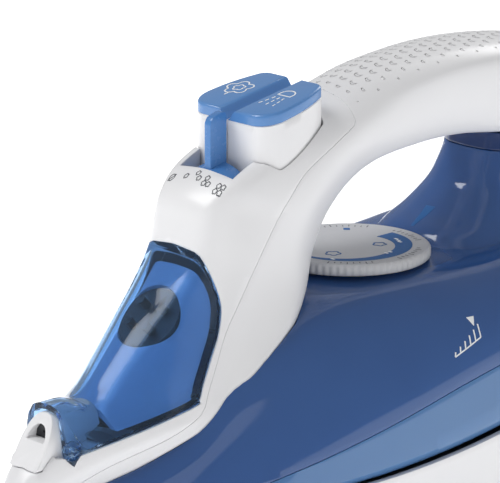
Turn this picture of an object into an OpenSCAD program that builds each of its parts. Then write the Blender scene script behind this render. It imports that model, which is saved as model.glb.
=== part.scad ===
// Household steam iron in millimetres.
// The sole face is z = 0, the nose points to -Y, and the handle runs over the top along Y.

/* [Body] */
// Overall length from the nose tip to the heel pads
body_length = 285; // [240:1:345]
// Overall width, which is the soleplate's
body_width = 118; // [98:1:142]
// Overall height from the sole face to the top of the handle
body_height = 145.8; // [122:1:175]
// Wall of the white shells
shell_wall = 2.4; // [1.8:0.1:3.2]
// Wall of the water tank
tank_wall = 2.2; // [1.6:0.1:3]

/* [Sole and heater] */
// Thickness of the polished soleplate
sole_t = 2.6; // [2:0.1:4]
// Height of the cast heater block
casting_h = 11; // [9.6:0.1:12]
// Radius of one steam hole
steam_hole_r = 1.5; // [1:0.1:2]
// Radius of the heating element's tube
element_r = 3.3; // [2.6:0.1:3.5]

/* [Controls] */
// Travel of the two push buttons
button_travel = 3.5; // [2:0.1:4.2]
// Thickness of the coloured caps on the buttons
button_cap_t = 3.6; // [2.5:0.1:5]
// Width of one push button at its widest
button_w = 18; // [15:0.1:18.4]
// Radius of the steam lever's drum
lever_drum_r = 15; // [13.5:0.1:15.6]
// Height of the steam lever's fin above its drum
lever_fin_h = 15.6; // [11:0.1:18]
// Thickness of the steam lever's fin
lever_fin_t = 2.8; // [2:0.1:3.6]
// Radius of the temperature dial
dial_r = 27.4; // [22:0.1:29]
// Height of the temperature dial's rim
dial_h = 3.9; // [3:0.1:4.6]
// Radius of the temperature dial's shaft
dial_shaft_r = 3; // [2:0.1:4]
// Radius of the two pump barrels
pump_r = 6.2; // [5.2:0.1:6.6]

/* [Filling and spray] */
// Inner radius of the filler neck
neck_r = 9.4; // [7.5:0.1:9.8]
// Wall of the transparent filler cap
cap_wall = 1.9; // [1.4:0.1:2.4]
// Radius of the filler cap's hinge pin
hinge_pin_r = 1.3; // [0.9:0.1:1.6]
// Radius of the spray jet
jet_r = 0.5; // [0.3:0.1:0.9]

/* [Rear] */
// Inner radius of the cord gland, where the mains cord enters
gland_bore_r = 3.6; // [2.8:0.1:4.2]
// Radius of the cord gland's ball
gland_ball_r = 9; // [8:0.1:9.5]

/* [Clearances] */
// Gap between pieces that sit beside each other
fit_gap = 0.3; // [0.2:0.05:0.5]
// Radial clearance of shafts and pins in their bores
run_gap = 0.05; // [0.02:0.01:0.1]

/* [Hidden] */

// Everything on the body is placed in the frame of the nominal iron and scaled to the driving sizes.
nominal = [118, 285, 145.8];
k = [body_width / nominal.x, body_length / nominal.y, body_height / nominal.z];
function at(x, y, z) = [x * k.x, y * k.y, z * k.z];

white = [0.93, 0.93, 0.94];
clear_blue = [0.21, 0.36, 0.62, 0.75];
pale_blue = [0.33, 0.51, 0.75, 0.8];
cap_blue = [0.28, 0.52, 0.78, 0.6];
navy = [0.05, 0.17, 0.38];
control_blue = [0.33, 0.52, 0.78];
grey = [0.77, 0.77, 0.79];
dark = [0.08, 0.1, 0.14];
steel = [0.75, 0.76, 0.78];
cast = [0.6, 0.61, 0.62];
eps = 0.01;
far = 400;

// ---- Rows and lofts ----

// Row number t of a table of rows, read between its rows on a Catmull-Rom curve.
function row_at(rows, t) =
    let (n = len(rows) - 1, i = min(floor(t), n - 1), u = t - i,
         p0 = rows[max(i - 1, 0)], p1 = rows[i], p2 = rows[i + 1], p3 = rows[min(i + 2, n)])
    0.5 * (2 * p1 + (p2 - p0) * u + (2 * p0 - 5 * p1 + 4 * p2 - p3) * u * u
           + (3 * p1 - p0 - 3 * p2 + p3) * u * u * u);
function mix(a, b, t) = a + (b - a) * t;
// Point t of the quadratic curve from a to b that is pulled towards c.
function bend(a, c, b, t) = mix(mix(a, c, t), mix(c, b, t), t);
// Both halves of a ring, from the half at x >= 0 that starts and ends on the middle plane.
function both_halves(h) = concat(h, [for (i = [len(h) - 2:-1:1]) [-h[i].x, h[i].y, h[i].z]]);

// A solid through a list of rings, each with the same number of points.
module loft(rings) {
    for (i = [0:len(rings) - 2])
        hull() polyhedron(concat(rings[i], rings[i + 1]), [for (j = [0:2 * len(rings[i]) - 3]) [j,
            j + 1, j + 2]]);
}
// A side-view outline of [y, z] points carried right across the body.
module side_prism(points) {
    rotate([90, 0, 90]) linear_extrude(far, center = true) polygon(points);
}
module at_axis(p, tilt) { translate(p) rotate([tilt, 0, 0]) children(); }

// ---- White envelope: nose, column and handle as one bent sweep ----
// Each row: outer middle point y z, half facet and its drop, ridge x y z, lower corner x y z,
// inner middle point y z, side bulge.
shell_rows = [
    [-134, 23.5, 2, 0.4, 4.5, -131, 22.5, 5.5, -129.5, 21, -127, 20, 0],
    [-127.5, 33, 4.5, 0.5, 11.5, -117, 30, 13, -113, 26.5, -109, 24.5, 0],
    [-118.5, 41, 6, 0.6, 18.5, -100, 37.5, 20.5, -94, 33.6, -90, 31, 0],
    [-108.5, 46.5, 6.5, 0.6, 24.5, -82, 43.5, 26, -77.5, 40.8, -73, 37.6, 0],
    [-98, 54, 6.8, 0.6, 27, -69.5, 48, 28.4, -66.5, 45.6, -62, 42.5, 0],
    [-88, 64.3, 8, 0.6, 26, -63, 55, 29.3, -58, 53, -52, 50, 0],
    [-79, 74, 9.3, 0.6, 24.3, -56.5, 64, 29.5, -49.5, 58.6, -42, 57, 0],
    [-69.5, 84, 10.8, 0.6, 22.8, -50.5, 73.5, 28, -40, 64, -32, 63, 0.5],
    [-62.5, 93.5, 12, 0.7, 22, -44.2, 82.8, 25.5, -30.5, 70, -23.5, 70.5, 1],
    [-60, 102.5, 12.8, 0.9, 21.6, -38, 92, 20, -21, 77.5, -16.5, 79.5, 2],
    [-57.6, 110, 13.4, 1.2, 21.5, -30.5, 100.3, 15, -14, 87, -11.5, 88.5, 3],
    [-51, 116.6, 16, 2.2, 21.6, -23.3, 107.1, 13.4, -7.8, 96.5, -5.8, 97, 3],
    [-41, 121.8, 17, 2.4, 21, -15.3, 114.1, 13.2, -0.8, 104, 0.8, 104, 3],
    [-26, 127.6, 16, 2.6, 20, -6, 121, 13.2, 6.5, 109, 7.5, 108.6, 3],
    [-10, 132.6, 13.5, 2.4, 18.6, 4.7, 126.1, 13.2, 14, 112, 15, 111.5, 3.2],
    [5, 138, 10.3, 2, 17.6, 15.5, 130.2, 13.2, 23, 113.8, 24, 113.2, 3.4],
    [21, 142.2, 10.3, 2, 17.3, 27, 134.4, 13.2, 34, 114.8, 34, 114.2, 3.4],
    [38.4, 144.6, 10.3, 2, 17.5, 41, 137.2, 13.2, 45, 115.4, 45, 114.7, 3.4],
    [56, 145.8, 10.5, 2, 18, 56, 138.6, 13.6, 58, 115, 58, 114.4, 3.4],
    [74, 145.4, 10.8, 2, 18.6, 73, 138.4, 15, 72, 113.4, 72, 112.8, 3.2],
    [90, 143.6, 11.2, 2, 19.4, 89, 136.6, 17, 88, 111.8, 88, 111.4, 2.6],
    [105, 140.2, 11.6, 2, 20, 104, 133, 19, 104, 110.6, 104, 110.4, 1.6],
    [118, 135.4, 12, 2, 20.5, 118, 128, 20.3, 118, 110.3, 118, 110.2, 0.6]];
shell_end = len(shell_rows) - 1;
cavity_start = 2.5;

// Half a section of the envelope, drawn in by inset on every side.
function shell_half(r, inset) =
    let (o = at(0, r[0], r[1]), i = at(0, r[10], r[11]), e = (o - i) / norm(o - i),
         f = at(r[2], r[0], r[1]) - e * r[3], rd = at(r[4], r[5], r[6]), b = at(r[7], r[8], r[9]),
         c1 = [mix(f.x, rd.x, 0.9), mix(f.y, rd.y, 0.45), mix(f.z, rd.z, 0.45)],
         c2 = mix(rd, b, 0.5) + [r[12], 0, 0],
         u = [b.x * 0.62, mix(b.y, i.y, 0.7), mix(b.z, i.z, 0.7)],
         raw = [o, f, bend(f, c1, rd, 0.35), bend(f, c1, rd, 0.7), rd, bend(rd, c2, b, 0.35),
                bend(rd, c2, b, 0.7), b, u, i],
         m = (o + i) / 2, w = max(rd.x, b.x), d = norm(o - i))
    [for (p = raw) let (s = (p - m) * e)
        p - e * s * min(1.8, 2 * inset / d) - [p.x * min(0.9, inset / w), 0, 0]];
function shell_ring(t, inset) = both_halves(shell_half(row_at(shell_rows, min(t, shell_end)), inset));
// The envelope from row first to row last; a positive inset makes the matching hollow.
module envelope(inset = 0, first = 0, last = shell_end, step = 0.5) {
    loft([for (t = [first:step:last + eps]) shell_ring(t, inset)]);
}
// The hollow runs out through the open rear end.
module envelope_hollow(inset) {
    envelope(inset, cavity_start, shell_end, 1.3);
    loft([for (y = [-eps * 10, 3]) [for (p = shell_ring(shell_end, inset)) p + [0, y, 0]]]);
    loft([for (t = [shell_end - 0.65, shell_end]) shell_ring(t, inset)]);
}
module shell_wall_of(wall) {
    difference() {
        envelope();
        envelope_hollow(wall);
    }
}

// Side view of the parting line between the front cover and the rest, from the nose to behind the buttons.
parting = [[-136, 21.5], [-118, 28.5], [-103.6, 35.6], [-85, 42], [-76, 46.4], [-72, 49.5], [-69.3, 54],
    [-64.3, 62], [-58.5, 71.5], [-52, 80], [-43.5, 92], [-35.5, 103.1], [-29.8, 109.8], [-22, 116.8],
    [-7.1, 124], [-1.2, 126.5], [2.2, 128.7], [2.6, 133]];
// Side view of the filler cap's edge, from its lower front corner to its top.
cap_edge = [[-113.4, 39.4], [-110.5, 40.6], [-76.5, 50.5], [-73, 52.8], [-70.5, 57], [-66, 64], [-61.5, 71.5],
    [-58.8, 79.5], [-59.4, 88], [-61.2, 96], [-62.8, 102.5]];
function in_side(points) = [for (p = points) [p.x * k.y, p.y * k.z]];
module button_holes() {
    for (s = [0, 1]) mirror([s, 0, 0]) translate([0, 0, 100 * k.z]) linear_extrude(60) button_outline(-0.5);
}
module cover_region(gap) {
    side_prism(concat(in_side(parting) + [for (p = parting) [-gap, gap]] ,
        in_side([[2.6, 190], [-190, 190], [-190, 21.5]])));
}
module cap_region(gap) {
    side_prism(concat(in_side(cap_edge) + [for (p = cap_edge) [-gap, gap]],
        [[-62.8 * k.y, far], [-115 * k.y + gap, far], [-115 * k.y + gap, 39.4 * k.z]]));
}

// ---- Lower body: dome of the tank, its rear column, and the skirt ----
// Each row: y, then x z of the lower edge, of the crease, of the side, of the shoulder, and z of the top.
dome_rows = [
    [-138, 3.2, 18, 2.4, 19, 1.8, 19.5, 1, 19.8, 20],
    [-130, 9.5, 18.5, 8.4, 20, 6.5, 21.3, 4, 22.3, 22.8],
    [-118, 17.5, 18.5, 16.5, 21.5, 13, 24.5, 9, 26.5, 27.5],
    [-105, 24.5, 18.5, 23, 24, 19, 28.5, 13, 31.5, 33],
    [-92, 30.5, 18.5, 28.5, 26, 24.5, 32, 17, 37, 39],
    [-78, 36, 18.5, 33.5, 28, 29.5, 37, 21, 45, 48],
    [-60, 41.5, 18.5, 39, 30, 34, 45, 24, 59, 63],
    [-40, 47, 19, 45, 34.5, 39, 52, 28.5, 65, 72],
    [-20, 51, 20, 49, 40.5, 42.5, 59, 29, 72.5, 76],
    [0, 54, 22, 51.5, 46.5, 44.5, 64, 31, 75.3, 77.3],
    [20, 56, 24.8, 52.5, 53, 45, 68, 31, 76.3, 77.5],
    [40, 57, 28.2, 52.5, 58.5, 44, 71, 30, 77, 77.8],
    [56, 57.5, 31, 52, 61, 43, 73, 29, 78.2, 79],
    [75, 57.5, 34, 51, 63, 41.5, 74.5, 28, 80.5, 81.5],
    [95, 56.5, 36.5, 49, 64, 39, 75.5, 25.5, 81.5, 82.5],
    [112, 53.5, 38.5, 45.5, 64, 36, 76.5, 22.5, 82, 83],
    [118, 52.5, 39, 44.5, 64, 35, 77, 21.5, 82, 83]];
function dome_half(r, inset) =
    let (m = (r[2] + r[9]) / 2 * k.z, h = (r[9] - r[2]) / 2 * k.z, side = max(0.1, 1 - inset / r[1] / k.x),
         raw = [at(0, r[0], r[2]), at(r[1], r[0], r[2]), at(r[3], r[0], r[4]),
                bend(at(r[3], r[0], r[4]), at(r[5], r[0], r[6]) + [1.6, 0, 1.6], at(r[7], r[0], r[8]), 0.5),
                at(r[7], r[0], r[8]), at(r[7] * 0.5, r[0], r[9] - 0.4), at(0, r[0], r[9])])
    [for (p = raw) [p.x * side, p.y, m + (p.z - m) * max(0.1, 1 - inset / h)]];
module dome(inset, first = 0) {
    loft([for (i = [first:len(dome_rows) - 1]) both_halves(dome_half(dome_rows[i], inset))]);
}
// Each row: z, y of the front, half width.
column_rows = [[68, 32, 33], [78, 44.6, 28], [82, 48.9, 25.5], [86, 56, 23.5], [93, 64.5, 20.5], [99,
    68.2, 18.8],
    [106, 71.5, 18], [114, 73, 18.4]];
tank_rear = 117.7;
function column_ring(r, inset) =
    let (f = r[1] * k.y + inset * 1.4, w = r[2] * k.x - inset, e = tank_rear * k.y, l = e - f)
    both_halves([[0, f, r[0] * k.z], [w * 0.5, f + l * 0.02, r[0] * k.z], [w * 0.84, f + l * 0.1, r[0] * k.z],
        [w, f + l * 0.34, r[0] * k.z], [w + 1, e, r[0] * k.z], [0, e, r[0] * k.z]]);
module column(inset, last) { loft([for (i = [0:last]) column_ring(column_rows[i], inset)]); }
// The tank's outer solid for inset 0, or its hollow; it stops at the white envelope in front and above.
module tank_solid(inset) {
    difference() {
        union() {
            dome(inset, inset > 0 ? 2 : 0);
            translate([0, 0, inset > 0 ? -inset : 0]) column(inset, 6);
        }
        envelope(-fit_gap * 1.7 - inset, 0, 14, 1);
        translate([-far / 2, tank_rear * k.y - inset, 0]) cube(far);
    }
}
// The seam between the tank's halves rises to the rear.
seam = [[-160, 0], [-60, 25], [-21, 35], [23, 46.5], [60, 52], [120, 54]];
module above_seam(gap) {
    side_prism(concat(in_side(seam) + [for (p = seam) [0, gap]], in_side([[120, 190], [-160, 190]])));
}
rod_at = [0, -31 * k.y];
tube_at = [-9 * k.x, -25.4 * k.y];
dial_at = [0, 16.3 * k.y];
rod_r = 1.6;
tube_r = 2.4;
well_r = dial_shaft_r + 2.2;
well_wall = 1.5;
// Rods and tubes that pass down through the white shell and the tank.
module rod_passages() {
    for (p = [[rod_at, rod_r], [tube_at, tube_r]])
        translate([p[0].x, p[0].y, 0]) cylinder(r = p[1] + fit_gap, h = 95 * k.z, $fn = 20);
}
module tank_cuts() {
    rod_passages();
    translate(dial_at) cylinder(r = well_r + well_wall + fit_gap, h = far, $fn = 32);
    in_neck() translate([0, 0, -neck_l - 1]) cylinder(r = neck_r + neck_wall + fit_gap, h = neck_l, $fn = 32);
}
module tank_shell() {
    color(clear_blue) difference() {
        intersection() {
            tank_solid(0);
            above_seam(fit_gap / 2);
        }
        tank_solid(tank_wall);
        tank_cuts();
    }
}
module tank_lower_band() {
    color(pale_blue) difference() {
        tank_solid(0);
        above_seam(-fit_gap / 2);
        tank_solid(tank_wall);
        tank_cuts();
    }
}
module shaft_well() {
    color(clear_blue) translate([dial_at.x, dial_at.y, 25.6 * k.z]) difference() {
        cylinder(r = well_r + well_wall, h = 50.6 * k.z, $fn = 64);
        translate([0, 0, -1]) cylinder(r = well_r, h = far, $fn = 64);
    }
}

// ---- Sole and heater ----
sole_nose = -142.5;
sole_rear = 104;
sole_corner = 16;
nose_reach = 200;
// Half width of the soleplate at y, which narrows on a power curve from nose_reach behind the tip.
function sole_x(y) = 59 * pow(1 - pow(1 - min(1, (y - sole_nose) / nose_reach), 2), 0.74);
function sole_half(inset) =
    let (c = (sole_nose + sole_rear) / 2 * k.y, h = (sole_rear - sole_nose) / 2 * k.y,
         raw = concat([for (s = [0, 1, 3, 7, 14, 24, 38, 54, 74, 98, 125, 155, 190])
             [sole_x(sole_nose + s), sole_nose + s]],
             [for (a = [0:15:90]) [59 - sole_corner * (1 - cos(a)), sole_rear - sole_corner * (1 - sin(a))]]))
    [for (p = raw) [p.x * (k.x - inset / 59), c + (p.y * k.y - c) * (h - inset * (p.y < 0 ? 1.7 : 1)) / h]];
module sole_outline(inset) {
    h = sole_half(inset);
    polygon(concat(h, [for (i = [len(h) - 1:-1:1]) [-h[i].x, h[i].y]]));
}
casting_inset = 8;
casting_top = sole_t + casting_h;
cover_t = 1.2;
element_x = 31 * k.x;
element_front = -30 * k.y;
element_rear = 78 * k.y;
element_z = casting_top - element_r - 0.6;
chamber = [21 * k.x, -26 * k.y, 52 * k.y];
chamber_floor = sole_t + 2.4;
front_chamber = [[0, -112], [14, -84], [14, -76], [-14, -76], [-14, -84]];
screw_spots = [[0, -69], [44, 80], [-44, 80]];
screw_r = 1.8;
// Steam holes: a row along each edge of the front chamber and a field under the main chamber.
steam_spots = concat([for (i = [0:3], s = [-1, 1]) [s * (2.6 + i * 2.8), -104 + i * 7]], [[0, -92], [0, -82]],
    [for (i = [0:5], j = [-2:2]) [j * 8, -20 + i * 13]]);
module steam_holes(z, h) {
    for (p = steam_spots) translate([p.x * k.x, p.y * k.y, z]) cylinder(r = steam_hole_r, h = h, $fn = 20);
}
module soleplate() {
    color(steel) difference() {
        linear_extrude(sole_t) sole_outline(0);
        steam_holes(-1, far);
    }
}
// The element's path, a U that is bent round the front, as a solid of radius r.
module element_path(r) {
    for (s = [-1, 1]) translate([s * element_x, element_front, 0])
        rotate([-90, 0, 0]) cylinder(r = r, h = element_rear - element_front, $fn = 32);
    translate([0, element_front, 0]) rotate([0, 0, 180]) rotate_extrude(angle = 180, $fn = 64)
        translate([element_x, 0]) circle(r = r, $fn = 32);
}
module heater_casting() {
    color(cast) difference() {
        translate([0, 0, sole_t]) linear_extrude(casting_h) sole_outline(casting_inset);
        translate([0, 0, element_z]) element_path(element_r + run_gap);
        for (s = [-1, 1]) translate([s * element_x, element_rear, element_z]) rotate([-90, 0, 0])
            cylinder(r = 1.6, h = far, $fn = 24);
        translate([-chamber[0], chamber[1], chamber_floor]) cube([2 * chamber[0],
            chamber[2] - chamber[1], far]);
        translate([0, 0, chamber_floor]) linear_extrude(far) polygon([for (p = front_chamber)
            [p.x * k.x, p.y * k.y]]);
        steam_holes(0, far);
        for (p = screw_spots) translate([p.x * k.x, p.y * k.y, sole_t + 2])
            cylinder(r = screw_r + run_gap, h = far, $fn = 24);
    }
}
module heating_element() {
    color(steel) translate([0, 0, element_z]) {
        element_path(element_r);
        for (s = [-1, 1]) translate([s * element_x, element_rear - eps, 0])
            rotate([-90, 0, 0]) cylinder(r = 1.2, h = 22, $fn = 24);
    }
}
module steam_chamber_cover() {
    color(cast) difference() {
        translate([0, 0, casting_top]) linear_extrude(cover_t) sole_outline(casting_inset + 5);
        translate([rod_at.x, rod_at.y, 0]) cylinder(r = rod_r + fit_gap, h = far, $fn = 24);
        translate([tube_at.x, tube_at.y, 0]) cylinder(r = tube_r + fit_gap, h = far, $fn = 24);
        for (p = screw_spots) translate([p.x * k.x, p.y * k.y, 0]) cylinder(r = screw_r + run_gap,
            h = far, $fn = 24);
    }
}
module sole_screws() {
    color(steel) for (p = screw_spots) translate([p.x * k.x, p.y * k.y, casting_top + cover_t]) {
        cylinder(r = 3, h = 1.6, $fn = 32);
        translate([0, 0, -9]) cylinder(r = screw_r, h = 9 + eps, $fn = 24);
    }
}
skirt_z = sole_t + fit_gap;
skirt_wall = 2.2;
// A section of the skirt: upright sides from the sole's outline to the tank's lower edge.
function skirt_half(r, inset, low, top) =
    let (w = min(sole_x(r[0]) * k.x - 0.8, (r[1] + min(3.5, max(0.6, (118 - r[0]) * 0.1 + 0.6))) * k.x))
    [at(0, r[0], 0) + [0, 0, low], [max(0.4, w - inset), r[0] * k.y, low],
     [max(0.3, r[1] * k.x - inset), r[0] * k.y, top], at(0, r[0], 0) + [0, 0, top]];
module heat_skirt() {
    color(white) difference() {
        loft([for (r = concat([[-141.3, 0.8, 8]], dome_rows))
            both_halves(skirt_half(r, 0, skirt_z, r[2] * k.z - fit_gap))]);
        loft([for (i = [1:len(dome_rows) - 1]) let (r = dome_rows[i])
            both_halves(skirt_half(r, skirt_wall, skirt_z - 1, r[2] * k.z + 1))]);
    }
}

// The floor between the soleplate and the rear cover.
module rear_base() {
    color(navy) translate([0, 0, skirt_z + 0.2]) linear_extrude(2)
        polygon([for (p = [[1, base_y[0]], [1, base_y[1]], [-1, base_y[1]], [-1, base_y[0]]])
            [p.x * base_x * k.x, p.y * k.y]]);
}
base_y = [105, 117.9];
base_x = 49.5;

// ---- White shells ----
module handle_body() {
    color(white) difference() {
        shell_wall_of(shell_wall);
        cover_region(0);
        underside_region(fit_gap / 2);
        rod_passages();
        in_neck() translate([0, 0, -neck_l - 4]) cylinder(r = neck_r + neck_wall + fit_gap, h = neck_l,
            $fn = 32);
        at_axis(at(0, 99, 138.2), -14) translate([0, 0, -2]) cylinder(r = lens_r + fit_gap, h = 14, $fn = 24);
        nozzle_block(fit_gap, 60);
        button_holes();
    }
}
module front_cover() {
    color(white) difference() {
        intersection() {
            shell_wall_of(shell_wall);
            cover_region(fit_gap / 2);
        }
        cap_region(-fit_gap);
        nozzle_block(fit_gap, 60);
        for (s = [-1, 1]) translate([s * (ear_x + 2), hinge_at.y, hinge_at.z])
            rotate([0, 90, 0]) cylinder(r = ear_r + 1.4, h = 7, center = true, $fn = 24);
        for (s = [-1, 1]) translate([s * (ear_x + 1) - 2, -117.8 * k.y, 39.1 * k.z]) cube([4, 3 * k.y, 20]);
        button_holes();
        in_lever() lever_opening();
    }
}
// The strip under the grip, between the column and the rear.
module underside_region(gap) {
    x = 9 * k.x + gap;
    translate([-x, 22 * k.y - gap, 90 * k.z]) cube([2 * x, 44 * k.y + 2 * gap, 28 * k.z]);
}
module handle_underside() {
    color(white) difference() {
        intersection() {
            shell_wall_of(shell_wall);
            underside_region(-fit_gap / 2);
        }
        for (y = grip_screws) translate([0, y * k.y, 100 * k.z]) cylinder(r = 1.5, h = 40, $fn = 24);
    }
}
grip_screws = [28, 60];
module handle_screws() {
    color(steel) for (y = grip_screws) translate([0, y * k.y, 119 * k.z]) {
        cylinder(r = 2.8, h = 2, $fn = 32);
        translate([0, 0, -4.6]) cylinder(r = 1.4, h = 5, $fn = 24);
    }
}

// ---- Rear ----
module rear_bridge() {
    color(navy) intersection() {
        column(0, 7);
        side_prism(in_side([[40, 106.4], [119, 106.4], [119, 109.7], [104, 109.9], [88, 110.9], [72,
            112.3], [40, 113.6]]));
    }
}
rear_front = 118.3;
rear_back = 141;
// Each row: z, half width, y of the back.
rear_low = [[3.4, 52, 139.5], [20, 52.4, 141], [39, 52, 141], [64, 44.2, 141], [77, 34.8, 141], [83, 22, 141]];
rear_high = [[60, 24, 141], [90, 22.5, 141], [106, 20.4, 141], [117, 20.4, 140.5], [124, 20.4, 134.5],
    [130, 18.6, 127.5], [135, 12.5, 120.5]];
function rear_ring(r, inset, front) =
    let (z = r[0] * k.z, w = r[1] * k.x - inset, b = r[2] * k.y - inset, c = min(9, b - front - 1))
    both_halves([[0, front, z], [w, front, z], [w, b - c, z], [w - c * 0.12, b - c * 0.5, z],
                 [w - c * 0.5, b - c * 0.12, z], [w - c, b, z], [0, b, z]]);
module rear_part(rows, inset, front) { loft([for (r = rows) rear_ring(r, inset, front)]); }
module in_gland() { at_axis(at(0, 127, 121), -45) children(); }
module rear_cover() {
    front = rear_front * k.y;
    open_front = front - 5;
    color(navy) difference() {
        union() {
            rear_part(rear_low, 0, front);
            rear_part(rear_high, 0, front);
        }
        rear_part([for (r = rear_low) r - [r[0] > 80 ? 2.4 : -0.9, 0, 0]], shell_wall, open_front);
        rear_part([for (r = rear_high) r - [r[0] > 130 ? 2.4 : 0, 0, 0]], shell_wall, open_front);
        in_gland() cylinder(r = gland_collar_r + fit_gap, h = 60, center = true, $fn = 32);
        for (s = [-1, 1]) translate([s * 30 * k.x, rear_back * k.y - 3, 52 * k.z])
            rotate([-90, 0, 0]) cylinder(r = 3.2, h = 9, $fn = 24);
    }
}
pad_spots = [[36, 14], [-36, 14], [10, 108], [-10, 108]];
module heel_pads() {
    color(dark) for (p = pad_spots) translate([p.x * k.x, rear_back * k.y, p.y * k.z])
        rotate([-90, 0, 0]) cylinder(r = 5, h = 142.5 * k.y - rear_back * k.y, $fn = 40);
}
module rear_screws() {
    color(steel) for (s = [-1, 1]) translate([s * 30 * k.x, rear_back * k.y - 0.6, 52 * k.z])
        rotate([90, 0, 0]) {
        cylinder(r = 3, h = 2.2, $fn = 32);
        cylinder(r = 1.4, h = 12, $fn = 24);
    }
}
gland_collar_r = gland_ball_r + 2.6;
gland_stub_r = gland_bore_r + 1.8;
gland_l = 14;
trunnion_r = 2;
module cord_gland() {
    color(dark) in_gland() difference() {
        union() {
            sphere(r = gland_ball_r, $fn = 64);
            cylinder(r = gland_stub_r, h = gland_l, $fn = 48);
            rotate([0, 90, 0]) cylinder(r = trunnion_r, h = 2 * (gland_ball_r + 2.2), center = true, $fn = 48);
        }
        translate([0, 0, -20]) cylinder(r = gland_bore_r, h = 60, $fn = 48);
    }
}
module gland_collar() {
    color(dark) in_gland() difference() {
        translate([0, 0, -3]) cylinder(r = gland_collar_r, h = 6.4, $fn = 64);
        translate([0, 0, -9]) cylinder(r = gland_ball_r + fit_gap, h = 20, $fn = 64);
        rotate([0, 90, 0]) cylinder(r = trunnion_r + run_gap, h = 60, center = true, $fn = 48);
    }
}
block = [26, 11, 14];
block_at = at(0, 127, 38);
module terminal_block() {
    color(white) translate(block_at - [block.x / 2, block.y / 2, block.z]) cube(block);
}
module inner_wires() {
    color(dark) for (x = [-5, 0, 5]) translate([x, block_at.y, block_at.z + eps])
        cylinder(r = 1.3, h = 106 * k.z - block_at.z, $fn = 20);
}
module thermal_fuse() {
    color(steel) translate([18 * k.x, 70 * k.y, casting_top + cover_t + 2.4])
        rotate([0, 90, 0]) cylinder(r = 2.2, h = 12, center = true, $fn = 32);
}
lens_r = 3;
module pilot_lens() {
    color([0.95, 0.6, 0.2]) at_axis(at(0, 99, 139.4), -14) {
        cylinder(r = lens_r, h = 3, $fn = 40);
        translate([0, 0, -1.2]) cylinder(r = lens_r - 0.6, h = 1.3, $fn = 40);
    }
}

// ---- Filler: cap, plug, tray and neck ----
facet_tilt = 46.4;
neck_wall = 1.8;
neck_l = 36;
plug_seat = -4.4;
hinge_at = at(0, -111.5, 40.3);
ear_x = 7.2;
ear_t = 2;
ear_r = 2.9;
// Local frame of the filler: z leaves the mouth, square to the cap's facet.
module in_neck() { at_axis(at(0, -73, 75), facet_tilt) children(); }
arch = [6.6, 36, 52];
// The nozzle's arch as a front-view outline, grown by gap; its crown is fuller once the gap reaches the
// cap's rim.
function arch_half(gap) = let (w = arch[0] + gap, b = arch[1] * k.z, h = (arch[2] - arch[1])
    * k.z + gap, f = min(1, gap / 0.8))
    [[0, b - gap], [w, b - gap], [w, b + h * mix(0.36, 0.5, f)], [w * mix(0.93, 0.97, f),
        b + h * mix(0.6, 0.7, f)],
     [w * mix(0.7, 0.8, f), b + h * mix(0.84, 0.88, f)], [w * mix(0.4, 0.45, f), b + h * mix(0.965,
         0.975, f)], [0, b + h]];
module arch_block(gap, from_y, to_y) {
    h = arch_half(gap);
    translate([0, to_y, 0]) rotate([90, 0, 0]) linear_extrude(to_y - from_y)
        polygon(concat(h, [for (i = [len(h) - 2:-1:1]) [-h[i].x, h[i].y]]));
}
nozzle_front = -114.6 * k.y;
nozzle_rear = -98 * k.y;
// The nozzle's front leans back from its foot to its brow.
module nozzle_block(gap, rise) {
    intersection() {
        arch_block(gap, -126 * k.y, nozzle_rear + gap);
        side_prism(in_side([[-114.6, 52.4], [-114.6, 30 + rise], [-80, 30 + rise], [-80, 30], [-124.6,
            30], [-123, 37.8]])
            + [for (i = [0:5]) [i == 2 || i == 3 ? 0 : -gap, 0]]);
    }
}
module filler_cap() {
    rim = 0.8;
    color(cap_blue) {
        difference() {
            union() {
                difference() {
                    intersection() {
                        envelope(0, 1, 10);
                        cap_region(0);
                    }
                    envelope(cap_wall, 1, 10.5, 0.5);
                }
                difference() {
                    intersection() {
                        arch_block(rim + cap_wall, nozzle_front, -92 * k.y);
                        cap_region(0.1);
                    }
                    translate([-far / 2, -far / 2, -far + 40.6 * k.z]) cube(far);
                    envelope(cap_wall, 1, 10.5, 1);
                }
                for (s = [-1, 1]) translate([s * (ear_x + ear_t / 2), hinge_at.y, hinge_at.z])
                    rotate([0, 90, 0])
                    cylinder(r = ear_r, h = ear_t, center = true, $fn = 32);
                for (s = [0, 1]) mirror([s, 0, 0]) cap_lug();
            }
            arch_block(rim, -130 * k.y, -97 * k.y);
            translate(hinge_at) rotate([0, 90, 0]) cylinder(r = hinge_pin_r + run_gap, h = 60,
                center = true, $fn = 32);
        }
    }
}
// A slim finger lug that stands out along the side of the cap.
module cap_lug() {
    hull() for (p = [[22.4, -73.6, 58], [19.8, -67, 73]]) translate(at(p.x, p.y, p.z)) rotate([25, 0, 0])
        cube([3.2, 1.4, 3], center = true);
}
module cap_hinge_pin() {
    color(steel) translate(hinge_at) rotate([0, 90, 0])
        cylinder(r = hinge_pin_r, h = 2 * (ear_x + ear_t), center = true, $fn = 32);
}
plug_r = neck_r + 1.9;
ring_r = 0.8;
module plug_ring_path() {
    translate([0, 0, plug_seat - 1.4]) rotate_extrude($fn = 64) translate([neck_r - 0.15 - ring_r, 0])
        circle(r = ring_r, $fn = 24);
}
module filler_plug() {
    color(dark) in_neck() difference() {
        union() {
            translate([0, 0, plug_seat + 0.1]) cylinder(r = plug_r, h = 2, $fn = 64);
            translate([0, 0, plug_seat - 2.8]) cylinder(r = neck_r - 0.5, h = 3.2, $fn = 64);
            for (a = [45:90:315]) rotate([0, 0, a]) translate([5.6, 0, plug_seat + 2])
                cylinder(r = 1.5, h = 3.75, $fn = 24);
        }
        plug_ring_path();
    }
}
module filler_plug_ring() {
    color(dark) in_neck() plug_ring_path();
}
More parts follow.
